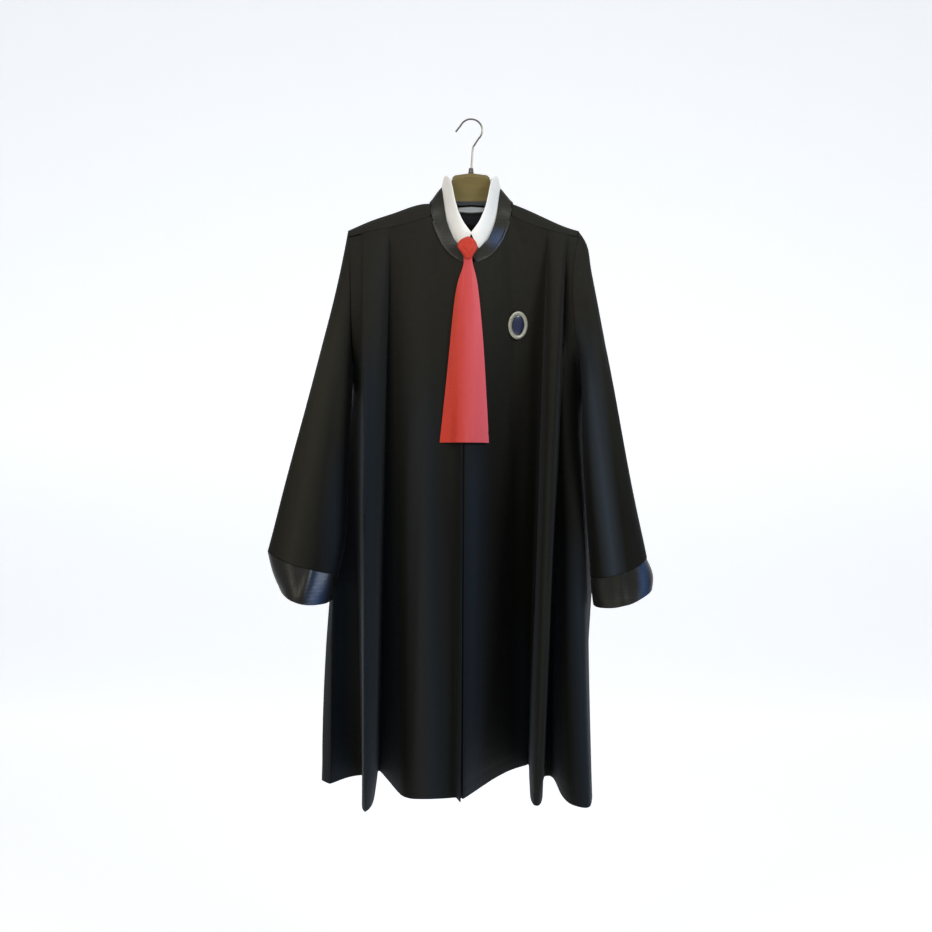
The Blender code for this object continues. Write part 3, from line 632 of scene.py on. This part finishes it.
@dataclass
class Sheet:
    """A sheet of cloth, from the outer face of a CAD wall, smoothed, shaped and made thick again."""

    node: str
    facing: tuple[float, float, float]
    thickness: float = 0.002
    cell: float = 0.012
    sharp_fold: float = 55.0
    piece: bpy.types.Object = field(init=False)

    def __post_init__(self) -> None:
        """Takes the sheet from its node and smooths it."""
        work = self.outer_face()
        creases = work.edges.layers.float.new("crease_edge")
        for edge in work.edges:
            if len(edge.link_faces) == 2 and math.degrees(edge.calc_face_angle(0)) > self.sharp_fold:
                edge[creases] = 0.55
        mesh = bpy.data.meshes.new(self.node)
        work.to_mesh(mesh)
        work.free()
        self.piece = link("gown_" + self.node, mesh)
        self.smooth()
        work = bmesh.new()
        work.from_mesh(self.piece.data)
        cut_long_rings(work, self.cell)
        work.to_mesh(self.piece.data)
        work.free()
        self.smooth()

    def smooth(self) -> None:
        """Rounds the sheet with one level of subdivision."""
        applied(self.piece, "SUBSURF", levels=1, render_levels=1, boundary_smooth="PRESERVE_CORNERS")

    def outer_face(self) -> bmesh.types.BMesh:
        """The outer face of the CAD wall, as four-sided cells.

        The wall's rim is the faces with an edge as long as the wall is thick.

        Returns:
            The face's mesh.
        """
        work = bmesh.new()
        work.from_mesh(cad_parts[self.node].data)
        bmesh.ops.remove_doubles(work, verts=work.verts, dist=0.00001)
        rim = {
            face for face in work.faces
            if any(abs(edge.calc_length() - self.thickness) < 0.000003 for edge in face.edges)
        }
        groups, seen = [], set(rim)
        for start in work.faces:
            if start in seen:
                continue
            group, queue = {start}, [start]
            while queue:
                for edge in queue.pop().edges:
                    for face in edge.link_faces:
                        if face not in seen and face not in group:
                            group.add(face)
                            queue.append(face)
            seen |= group
            groups.append(group)
        way = Vector(self.facing)
        groups = sorted(groups, key=len)[-2:]
        outer = max(groups, key=lambda group: furthest(group, way))
        corners = {vert for face in outer for vert in face.verts}
        outer |= {face for face in rim if all(vert in corners for vert in face.verts)}
        bmesh.ops.delete(work, geom=[face for face in work.faces if face not in outer], context="FACES")
        bmesh.ops.join_triangles(
            work, faces=work.faces, angle_face_threshold=math.pi, angle_shape_threshold=math.pi
        )
        return work

    def shape(self, *movers: object) -> None:
        """Moves the sheet's points.

        Args:
            *movers: Functions of the points and normals, each giving the points' new places.
        """
        for mover in movers:
            mesh = self.piece.data
            set_points(mesh, mover(points_of(mesh), normals_of(mesh)))

    def lap(self, reach: float, lift: float, where: object) -> None:
        """Carries a part of the sheet's edge on, so that it laps over or under its neighbour.

        Args:
            reach: How far the edge is carried on.
            lift: How far it rises off the sheet; it sinks when this is negative.
            where: A function of a place and the way out over the edge there, true where the edge moves.
        """
        work = bmesh.new()
        work.from_mesh(self.piece.data)
        ways = {}
        for edge in work.edges:
            if not edge.is_boundary:
                continue
            face = edge.link_faces[0]
            middle = (edge.verts[0].co + edge.verts[1].co) / 2
            out = (edge.verts[1].co - edge.verts[0].co).cross(face.normal).normalized()
            if out @ (middle - face.calc_center_median()) < 0:
                out.negate()
            for vert in edge.verts:
                if where(vert.co, out):
                    ways[vert] = ways.get(vert, Vector()) + out
        for vert, out in ways.items():
            vert.co += out.normalized() * reach + vert.normal * lift
        work.to_mesh(self.piece.data)
        work.free()

    def finish(
        self, finish: Woven, slot: str, materials: dict[str, bpy.types.Material]
    ) -> bpy.types.Object:
        """Gives the sheet its thickness, its material and its body, and hides the CAD node.

        Args:
            finish: The cloth.
            slot: A material slot's name; it is not used.
            materials: The materials made so far.

        Returns:
            The piece.
        """
        applied(self.piece, "SOLIDIFY", thickness=self.thickness, offset=-1, use_rim=True)
        self.piece.data.shade_smooth()
        self.piece.data.set_sharp_from_angle(angle=math.radians(60))
        dress(self.piece, finish, materials)
        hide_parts(self.node)
        return self.piece


def painted(mesh: bpy.types.Mesh, finish: object, materials: dict[str, bpy.types.Material]) -> None:
    """Gives a mesh its material.

    Args:
        mesh: The mesh.
        finish: Its finish.
        materials: The materials made so far, which this one joins.
    """
    if finish.name not in materials:
        materials[finish.name] = finish.make()
    mesh.materials.clear()
    mesh.materials.append(materials[finish.name])


def dress(
    piece: bpy.types.Object, finish: object, materials: dict[str, bpy.types.Material]
) -> None:
    """Gives a piece its material and body.

    Args:
        piece: The piece.
        finish: Its finish.
        materials: The materials made so far.
    """
    painted(piece.data, finish, materials)
    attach(piece, BODY)
    LOG.info("%s: %d faces", piece.name, len(piece.data.polygons))


# Folds and creases


@dataclass(frozen=True)
class Crease:
    """A soft crease or ridge between two places seen from the front; a crease has a negative height."""

    start: tuple[float, float]
    end: tuple[float, float]
    width: float
    height: float

    def lift(self, points: np.ndarray) -> np.ndarray:
        """How far it moves each point along its normal.

        Args:
            points: The points.

        Returns:
            The distances.
        """
        start, end = np.array(self.start), np.array(self.end)
        line = end - start
        places = points[:, (0, 2)] - start
        share = places @ line / (line @ line)
        away = np.linalg.norm(places - share[:, None] * line, axis=1)
        taper = np.clip(1 - (2 * np.clip(share, 0, 1) - 1) ** 2, 0, 1) ** 0.7
        return self.height * taper * np.exp(-((away / self.width) ** 2))


def with_creases(creases: tuple[Crease, ...], front_only: bool = True) -> object:
    """A mover that presses creases into a sheet.

    Args:
        creases: The creases.
        front_only: Whether only points that face forward move.

    Returns:
        The mover.
    """

    def move(points: np.ndarray, normals: np.ndarray) -> np.ndarray:
        """Moves the points."""
        height = sum(crease.lift(points) for crease in creases)
        if front_only:
            height = height * np.clip(-normals[:, 1] * 2, 0, 1)
        return points + normals * height[:, None]

    return move


@dataclass(frozen=True)
class Pull:
    """A soft pull on every piece of cloth near a place, so that the pieces stay together."""

    place: tuple[float, float, float]
    reach: tuple[float, float, float]
    move: tuple[float, float, float]

    def __call__(self, points: np.ndarray, normals: np.ndarray) -> np.ndarray:
        """Moves the points.

        Args:
            points: The points.
            normals: Their normals, which don't matter here.

        Returns:
            The new places.
        """
        away = ((points - np.array(self.place)) / np.array(self.reach)) ** 2
        return points + np.exp(-away.sum(axis=1))[:, None] * np.array(self.move)


def rumpled(height: float, scale: tuple[float, float, float], seed: float) -> object:
    """A mover that gives cloth its small unevenness.

    Args:
        height: How high it is.
        scale: How many bumps there are in a metre along each axis.
        seed: Which unevenness it is.

    Returns:
        The mover.
    """

    def move(points: np.ndarray, normals: np.ndarray) -> np.ndarray:
        """Moves the points."""
        sizes = Vector(scale)
        shift = Vector((seed, 2 * seed, 3 * seed))
        rise = np.array([noise.noise(Vector(p) * sizes + shift) for p in points])
        return points + normals * (height * rise)[:, None]

    return move


def stitched_line(level: object, width: float, depth: float) -> object:
    """A mover that sinks the groove of a stitched seam.

    Args:
        level: A function that gives each point's distance from the stitching.
        width: The groove's half width.
        depth: Its depth.

    Returns:
        The mover.
    """

    def move(points: np.ndarray, normals: np.ndarray) -> np.ndarray:
        """Moves the points."""
        sink = depth * np.exp(-((level(points) / width) ** 2))
        return points - normals * sink[:, None]

    return move


# The gown


@dataclass
class Gown:
    """The gown's black cloth: yoke, fronts, back and sleeves."""

    materials: dict[str, bpy.types.Material]
    hem_stitch: float = -1.298
    rumple: float = 0.0016

    def build(self) -> None:
        """Builds every cloth piece."""
        self.yoke()
        for side in Side:
            self.front(side)
            self.sleeve(side)
        self.back()

    def yoke(self) -> None:
        """The yoke over both shoulders."""
        sheet = Sheet("yoke", (0, 0, 1))
        sheet.shape(*SHOULDER_PULLS, rumpled(self.rumple * 0.6, (14, 14, 14), 3))
        piece = sheet.finish(CLOTH, "cloth", self.materials)

    def front(self, side: Side) -> None:
        """One front, with the folds that its cut gives it.

        Args:
            side: Which one.
        """
        sheet = Sheet("front_" + side.value, (0, -1, 0))
        sheet.lap(
            0.004, -0.0015,
            lambda place, out: out.z > 0.2 and abs(place.x) < 0.0815 and place.z > -0.312,
        )
        sheet.shape(
            *SHOULDER_PULLS,
            with_creases(FRONT_CREASES[side]),
            rumpled(self.rumple, (9, 9, 3), 5 + side.sign),
            stitched_line(lambda points: points[:, 2] - self.hem_stitch, 0.0025, 0.0008),
        )
        piece = sheet.finish(CLOTH, "cloth", self.materials)

    def back(self) -> None:
        """The back under the yoke."""
        sheet = Sheet("back", (0, 1, 0), cell=0.016)
        sheet.shape(
            *SHOULDER_PULLS,
            rumpled(self.rumple, (7, 7, 2.5), 9),
            stitched_line(lambda points: points[:, 2] - self.hem_stitch, 0.0025, 0.0008),
        )
        piece = sheet.finish(CLOTH, "cloth", self.materials)

    def sleeve(self, side: Side) -> None:
        """One sleeve.

        Args:
            side: Which one.
        """
        sheet = Sheet("sleeve_" + side.value, (side.sign, 0, 0))
        sheet.shape(
            *SHOULDER_PULLS,
            *SLEEVE_PULLS[side],
            with_creases(SLEEVE_CREASES[side]),
            rumpled(self.rumple * 1.2, (9, 9, 4), 13 + side.sign),
        )
        piece = sheet.finish(CLOTH, "cloth", self.materials)


SHOULDER_PULLS = (
    Pull((0.235, 0.0, -0.250), (0.045, 0.07, 0.035), (0.008, 0.0, 0.000)),
    Pull((-0.195, 0.0, -0.200), (0.06, 0.05, 0.05), (0.0, 0.0, 0.007)),
    Pull((0.165, 0.0, -0.205), (0.06, 0.05, 0.05), (0.0, 0.0, 0.006)),
    Pull((-0.110, 0.0, -0.175), (0.045, 0.05, 0.04), (-0.001, 0.0, 0.0065)),
    Pull((0.105, 0.0, -0.175), (0.045, 0.05, 0.04), (0.001, 0.0, 0.0055)),
)
SLEEVE_PULLS = {
    Side.LEFT: (Pull((-0.375, 0.0, -0.95), (0.06, 0.1, 0.05), (0.003, 0.0, 0.0)),),
    Side.RIGHT: (
        Pull((0.240, 0.0, -0.72), (0.022, 0.12, 0.26), (-0.010, 0.0, 0.0)),
        Pull((0.262, 0.0, -0.95), (0.030, 0.12, 0.08), (-0.009, 0.0, 0.0)),
        Pull((0.360, 0.0, -0.88), (0.040, 0.12, 0.09), (0.009, 0.0, 0.0)),
    ),
}
LEAF_PULLS = (
    Pull((-0.052, 0.01, -0.135), (0.022, 0.06, 0.035), (-0.0015, 0.0, 0.010)),
    Pull((0.052, 0.01, -0.135), (0.022, 0.06, 0.035), (0.0015, 0.0, 0.010)),
    Pull((-0.043, 0.0, -0.130), (0.013, 0.06, 0.03), (0.0, 0.0, 0.011)),
    Pull((0.043, 0.0, -0.130), (0.013, 0.06, 0.03), (0.0, 0.0, 0.011)),
    Pull((-0.072, 0.01, -0.150), (0.018, 0.06, 0.03), (-0.003, 0.0, 0.003)),
    Pull((0.072, 0.01, -0.150), (0.018, 0.06, 0.03), (0.003, 0.0, 0.003)),
)
COLLAR_PULLS = (
    Pull((-0.068, 0.0, -0.150), (0.03, 0.05, 0.03), (0.0, 0.0, 0.009)),
    Pull((0.068, 0.0, -0.150), (0.03, 0.05, 0.03), (0.0, 0.0, 0.007)),
    Pull((-0.085, 0.0, -0.176), (0.02, 0.05, 0.03), (-0.002, 0.0, 0.003)),
    Pull((0.085, 0.0, -0.176), (0.02, 0.05, 0.03), (0.002, 0.0, 0.003)),
    Pull((0.006, -0.08, -0.281), (0.018, 0.04, 0.02), (-0.010, 0.0, 0.0)),
)
FRONT_CREASES = {
    Side.LEFT: (
        Crease((-0.075, -0.30), (-0.150, -1.00), 0.018, 0.0035),
        Crease((-0.105, -0.45), (-0.120, -1.25), 0.014, -0.0030),
        Crease((-0.050, -0.60), (-0.075, -1.28), 0.016, 0.0030),
    ),
    Side.RIGHT: (
        Crease((0.085, -0.21), (0.104, -0.27), 0.006, -0.0025),
        Crease((0.020, -0.55), (0.010, -1.25), 0.012, 0.0025),
        Crease((0.050, -0.50), (0.060, -1.10), 0.014, -0.0022),
        Crease((0.118, -0.35), (0.110, -0.90), 0.010, 0.0020),
    ),
}
SLEEVE_CREASES = {
    Side.LEFT: (
        Crease((-0.262, -0.40), (-0.325, -0.78), 0.016, 0.0045),
        Crease((-0.255, -0.52), (-0.290, -0.84), 0.012, -0.0045),
        Crease((-0.300, -0.56), (-0.360, -0.84), 0.012, -0.0035),
    ),
    Side.RIGHT: (
        Crease((0.235, -0.36), (0.270, -0.70), 0.014, 0.0045),
        Crease((0.250, -0.50), (0.290, -0.84), 0.012, -0.0040),
        Crease((0.270, -0.46), (0.318, -0.82), 0.010, 0.0030),
    ),
}


@dataclass
class SatinTrim:
    """The satin parts, which are the cuffs and the stand collar, and the neck label."""

    materials: dict[str, bpy.types.Material]

    def build(self) -> None:
        """Builds the cuffs, the collar and the label."""
        for side in Side:
            self.cuff(side)
        sheet = Sheet("stand_collar", (0, -1, 0), thickness=0.0024, cell=0.006)
        sheet.lap(0.0025, 0.0008, lambda place, out: out.z < -0.3)
        sheet.shape(*COLLAR_PULLS, rumpled(0.0010, (30, 30, 20), 21))
        piece = sheet.finish(SATIN, "satin", self.materials)
        label = Sheet("neck_label", (0, -1, 0), thickness=0.001, cell=0.006)
        piece = label.finish(LABEL, "label", self.materials)

    def cuff(self, side: Side) -> None:
        """One satin cuff.

        Args:
            side: Which one.
        """
        sheet = Sheet("cuff_" + side.value, (side.sign, 0, 0), thickness=0.0024, cell=0.008)
        sheet.shape(
            *SLEEVE_PULLS[side],
            with_creases(CUFF_CREASES[side]),
            rumpled(0.003, (22, 22, 10), 25 + side.sign),
        )
        piece = sheet.finish(CUFF_SATIN, "satin", self.materials)


CUFF_CREASES = {
    Side.LEFT: (Crease((-0.300, -0.86), (-0.322, -0.95), 0.009, 0.004),),
    Side.RIGHT: (Crease((0.285, -0.88), (0.290, -0.97), 0.009, 0.004),),
}


@dataclass
class WhiteCollar:
    """The detachable white collar: a stand with its leaf folded over."""

    materials: dict[str, bpy.types.Material]

    def build(self) -> None:
        """Builds the collar."""
        sheet = Sheet("white_collar", (0, -1, 0), thickness=0.0012, cell=0.006, sharp_fold=120)
        sheet.shape(*LEAF_PULLS)
        piece = sheet.finish(COTTON, "white_cotton", self.materials)


@dataclass
class Neckerchief:
    """The red neckerchief: its knot and its hanging blade."""

    materials: dict[str, bpy.types.Material]
    turn_up: float = -0.629

    def build(self) -> None:
        """Builds the knot and the blade."""
        sheet = Sheet("jabot_blade", (0, -1, 0), thickness=0.0024, cell=0.006)
        sheet.shape(with_creases(BLADE_CREASES), rumpled(0.0012, (14, 14, 6), 31))
        sheet.shape(stitched_line(lambda points: points[:, 2] - self.turn_up, 0.002, 0.0008))
        piece = sheet.finish(RED, "red_satin", self.materials)
        self.knot()

    def knot(self) -> None:
        """The knot, pointed at the top and drawn in over the blade, with its wraps."""
        bpy.ops.mesh.primitive_cylinder_add(vertices=32, radius=1, depth=1, end_fill_type="TRIFAN")
        piece = bpy.context.active_object
        piece.name = "neckerchief_knot"
        mesh = piece.data
        work = bmesh.new()
        work.from_mesh(mesh)
        upright = [edge for edge in work.edges if abs(edge.verts[0].co.z - edge.verts[1].co.z) > 0.5]
        bmesh.ops.subdivide_edges(work, edges=upright, cuts=len(KNOT_RINGS) - 2)
        work.to_mesh(mesh)
        work.free()
        points = points_of(mesh)
        rows = (0.5 - points[:, 2]) * (len(KNOT_RINGS) - 1)
        rings = np.array(KNOT_RINGS)
        left, right, front, back, height = (
            np.interp(rows, range(len(rings)), rings[:, k]) * 0.001 for k in range(5)
        )
        across = np.sign(points[:, 0]) * np.abs(points[:, 0]) ** 0.9
        points[:, 0] = (left + right) / 2 + across * (right - left) / 2
        points[:, 1] = -((front + back) / 2 - points[:, 1] * (front - back) / 2)
        points[:, 2] = height
        set_points(mesh, points)
        applied(piece, "SUBSURF", levels=2, render_levels=2)
        points, normals = points_of(mesh), normals_of(mesh)
        lift = sum(crease.lift(points) for crease in KNOT_CREASES) * np.clip(-normals[:, 1] * 2, 0, 1)
        set_points(mesh, points + normals * lift[:, None])
        mesh.shade_smooth()
        dress(piece, KNOT_RED, self.materials)
        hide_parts("jabot_knot")


KNOT_RINGS = (
    (-8.3, -4.3, 79.5, 73.0, -249.8),
    (-18.4, 4.6, 82.0, 72.2, -253.8),
    (-23.6, 8.8, 84.6, 71.6, -259.2),
    (-27.0, 11.6, 86.8, 71.4, -265.4),
    (-26.8, 12.4, 87.8, 71.6, -271.2),
    (-22.8, 10.8, 88.2, 72.4, -276.0),
    (-18.6, 7.0, 88.2, 73.6, -281.6),
    (-15.2, 3.4, 87.4, 75.0, -287.4),
    (-12.4, 1.2, 85.6, 76.6, -293.0),
)
BLADE_CREASES = (
    Crease((-0.010, -0.29), (-0.020, -0.44), 0.004, -0.0016),
    Crease((-0.002, -0.29), (0.006, -0.40), 0.003, 0.0012),
    Crease((-0.030, -0.36), (-0.040, -0.60), 0.008, 0.0014),
)
KNOT_CREASES = (
    Crease((-0.024, -0.264), (0.000, -0.292), 0.0030, -0.0013),
    Crease((0.012, -0.262), (-0.004, -0.292), 0.0026, -0.0016),
    Crease((-0.010, -0.256), (-0.010, -0.286), 0.0040, 0.0008),
)


@dataclass
class Badge:
    """The oval badge: a pale metal ring with beads round a bare enamelled centre."""

    materials: dict[str, bpy.types.Material]
    beads: int = 26
    bead: float = 0.0013

    def build(self) -> None:
        """Builds the rim with its beads, and the domed centre."""
        place, wide, tall = self.axes("badge_rim")
        rim = self.oval("badge_rim", place, wide - 0.0036, tall - 0.0036, 0.0034, 0.55)
        inner = self.oval("badge_lip", place, wide - 0.0074, tall - 0.0074, 0.0007, 1.2)
        parts = [rim, inner]
        for step in range(self.beads):
            turn = 2 * math.pi * step / self.beads
            bpy.ops.mesh.primitive_uv_sphere_add(segments=12, ring_count=8, radius=self.bead)
            bead = bpy.context.active_object
            at = Vector(((wide - 0.0034) * math.cos(turn), (tall - 0.0034) * math.sin(turn), 0.0016))
            bead.data.transform(place @ Matrix.Translation(at))
            parts.append(bead)
        piece = joined(parts)
        piece.name = "badge_ring"
        dress(piece, PALE_METAL, self.materials)
        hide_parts("badge_rim")
        place, wide, tall = self.axes("badge_centre")
        bpy.ops.mesh.primitive_uv_sphere_add(segments=48, ring_count=24, radius=1.0)
        centre = bpy.context.active_object
        centre.name = "badge_enamel_dome"
        centre.data.transform(place @ Matrix.Diagonal((wide, tall, 0.0016, 1)))
        centre.data.shade_smooth()
        dress(centre, ENAMEL, self.materials)
        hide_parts("badge_centre")

    @staticmethod
    def axes(node: str) -> tuple[Matrix, float, float]:
        """Where a flat oval node lies, how wide it is and how tall.

        Args:
            node: The node.

        Returns:
            Its place with X across, Y up and Z off the cloth, its half width and its half height.
        """
        points = points_of(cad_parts[node].data)
        middle = (points.max(axis=0) + points.min(axis=0)) / 2
        _, _, ways = np.linalg.svd(points - points.mean(axis=0), full_matrices=False)
        up, across = Vector(ways[0]), Vector(ways[1])
        up = up if up.z > 0 else -up
        across = across if across.x > 0 else -across
        off = across.cross(up).normalized()
        place = Matrix.Translation(Vector(middle)) @ Matrix((across, up, off)).transposed().to_4x4()
        away = points - middle
        return place, float(abs(away @ np.array(across)).max()), float(abs(away @ np.array(up)).max())

    @staticmethod
    def oval(
        name: str, place: Matrix, wide: float, tall: float, thick: float, flat: float
    ) -> bpy.types.Object:
        """An oval ring of round section.

        Args:
            name: Its name.
            place: Where it lies.
            wide: The half width of its middle line.
            tall: The half height of its middle line.
            thick: Its section's radius.
            flat: How far the section is flattened.

        Returns:
            The ring.
        """
        bpy.ops.mesh.primitive_torus_add(
            major_radius=1.0, minor_radius=1.0, major_segments=72, minor_segments=14
        )
        ring = bpy.context.active_object
        ring.name = name
        points = []
        for i in range(72):
            turn = 2 * math.pi * i / 72
            for j in range(14):
                roll = 2 * math.pi * j / 14
                out = thick * math.cos(roll)
                points.append((
                    (wide + out) * math.cos(turn),
                    (tall + out) * math.sin(turn),
                    thick * flat * math.sin(roll),
                ))
        set_points(ring.data, np.array(points))
        ring.data.transform(place)
        ring.data.shade_smooth()
        return ring


def joined(parts: list[bpy.types.Object]) -> bpy.types.Object:
    """Joins objects into the first of them.

    Args:
        parts: The objects.

    Returns:
        The joined object.
    """
    only(parts[0])
    for part in parts:
        part.select_set(True)
    bpy.ops.object.join()
    return parts[0]


@dataclass
class Hanger:
    """The wooden hanger with its wire hook and ferrule."""

    materials: dict[str, bpy.types.Material]
    top: float = -0.1075
    half_block: float = 0.040
    arch: float = 0.0055
    shade_band_drop: float = 0.009

    def build(self) -> None:
        """Shapes the wood, and dresses it, the wire and the ferrule."""
        for node in ("hanger_ferrule", "hanger_hook"):
            painted(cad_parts[node].data, WIRE, self.materials)
        wood = link("hanger_wood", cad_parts["hanger_body"].data.copy())
        mesh = wood.data
        points = points_of(mesh)
        share = np.clip(np.abs(points[:, 0]) / self.half_block, 0, 1)
        points[:, 2] += np.where(points[:, 2] > self.top - 0.012, 0.0015 - self.arch * share**2, 0)
        inner = np.abs(points[:, 0]) < self.half_block
        # The block's middle is lowered here so that its painted shade band covers the dark gap below the
        # hanger.
        points[:, 2] -= np.where(inner & (points[:, 2] < -0.15), self.shade_band_drop, 0)
        set_points(mesh, points)
        mesh.set_sharp_from_angle(angle=math.radians(40))
        dress(wood, DARK_WOOD, self.materials)
        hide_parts("hanger_body")


# The studio


@dataclass
class Studio:
    """The camera, the pale backdrop and the soft lights."""

    camera_place: tuple[float, float, float] = (-0.010, -2.1, -0.692)
    lens: float = 40.56
    floor: float = -1.95
    wall: float = 4.6
    half_width: float = 9.0
    turn: float = 1.5

    def build(self) -> None:
        """Sets the camera, the backdrop and the lights."""
        self.camera()
        self.backdrop()
        self.light("key", (1.6, -1.6, 0.6), (0.0, 0.0, -0.5), 0.8, 28, (0.84, 0.92, 1.0))
        self.light("fill", (-1.5, -1.8, 0.6), (0.0, 0.0, -0.5), 1.2, 21, (1.0, 0.92, 0.75))
        self.light("top", (0.0, -0.4, 1.5), (0.0, 0.0, -0.3), 1.2, 10, (1.0, 1.0, 1.0))
        self.light("neck", (0.0, -0.9, -0.45), (0.0, 0.04, -0.172), 0.05, 0.006, (0.85, 0.94, 1.0), 7)
        self.sky()
        bpy.context.scene.view_settings.view_transform = "Standard"

    def sky(self) -> None:
        """The world: dim as a light, and as pale as the backdrop where the camera sees it."""
        world = bpy.context.scene.world or bpy.data.worlds.new("studio")
        bpy.context.scene.world = world
        world.use_nodes = True
        tree = world.node_tree
        dim = tree.nodes["Background"]
        dim.inputs["Color"].default_value = (0.94, 0.96, 1.0, 1)
        dim.inputs["Strength"].default_value = 0.27
        pale = tree.nodes.new("ShaderNodeBackground")
        pale.inputs["Color"].default_value = (0.93, 0.935, 0.96, 1)
        seen = tree.nodes.new("ShaderNodeLightPath")
        mix = tree.nodes.new("ShaderNodeMixShader")
        tree.links.new(seen.outputs["Is Camera Ray"], mix.inputs[0])
        tree.links.new(dim.outputs[0], mix.inputs[1])
        tree.links.new(pale.outputs[0], mix.inputs[2])
        tree.links.new(mix.outputs[0], tree.nodes["World Output"].inputs["Surface"])

    def camera(self) -> None:
        """The camera, level and in front of the gown."""
        lens = bpy.data.cameras.new("camera")
        lens.lens = self.lens
        lens.sensor_width = 36
        camera = bpy.data.objects.new("camera", lens)
        camera.location = self.camera_place
        camera.rotation_euler = (math.pi / 2, 0, 0)
        bpy.context.scene.collection.objects.link(camera)
        bpy.context.scene.camera = camera

    def backdrop(self) -> None:
        """A pale sweep: floor, curve and wall."""
        profile = [(-4.0, self.floor), (self.wall - self.turn, self.floor)]
        for step in range(1, 13):
            angle = math.pi / 2 * step / 12
            depth = self.wall - self.turn * (1 - math.sin(angle))
            profile.append((depth, self.floor + self.turn * (1 - math.cos(angle))))
        profile.append((self.wall, 5.0))
        points = [(x, y, z) for x in (-self.half_width, self.half_width) for y, z in profile]
        count = len(profile)
        faces = [(i, i + 1, count + i + 1, count + i) for i in range(count - 1)]
        mesh = bpy.data.meshes.new("backdrop")
        mesh.from_pydata(points, [], faces)
        mesh.shade_smooth()
        sweep = link("backdrop", mesh)
        graph = Graph("backdrop paper")
        tone = graph.mixed(graph.noise(3, 2), (0.88, 0.89, 0.91), (0.9, 0.91, 0.93))
        graph.join(tone, graph.shader.inputs["Base Color"])
        graph.shader.inputs["Roughness"].default_value = 0.9
        graph.shader.inputs["Emission Color"].default_value = (0.96, 0.98, 1.0, 1)
        graph.shader.inputs["Emission Strength"].default_value = 0.50
        mesh.materials.append(graph.material)

    def light(
        self, name: str, place: tuple, target: tuple, size: float, power: float, colour: tuple,
        cone: float = 180,
    ) -> None:
        """A square soft light.

        Args:
            name: Its name.
            place: Where it hangs.
            target: Where it points.
            size: Its side.
            power: Its watts.
            colour: Its colour.
            cone: How wide it throws, in degrees.
        """
        lamp = bpy.data.lights.new(name, "AREA")
        lamp.size = size
        lamp.energy = power
        lamp.color = colour
        lamp.spread = math.radians(cone)
        made = bpy.data.objects.new(name, lamp)
        made.location = place
        made.rotation_euler = (Vector(target) - Vector(place)).to_track_quat("-Z", "Y").to_euler()
        bpy.context.scene.collection.objects.link(made)


def main() -> None:
    """Builds everything in order."""
    logging.basicConfig(level=logging.INFO, format="%(name)s: %(message)s")
    materials: dict[str, bpy.types.Material] = {}
    for part in (Gown, SatinTrim, WhiteCollar, Neckerchief, Badge, Hanger):
        part(materials).build()
        LOG.info("built %s", part.__name__)
    Studio().build()


if __name__ == "__main__":
    main()
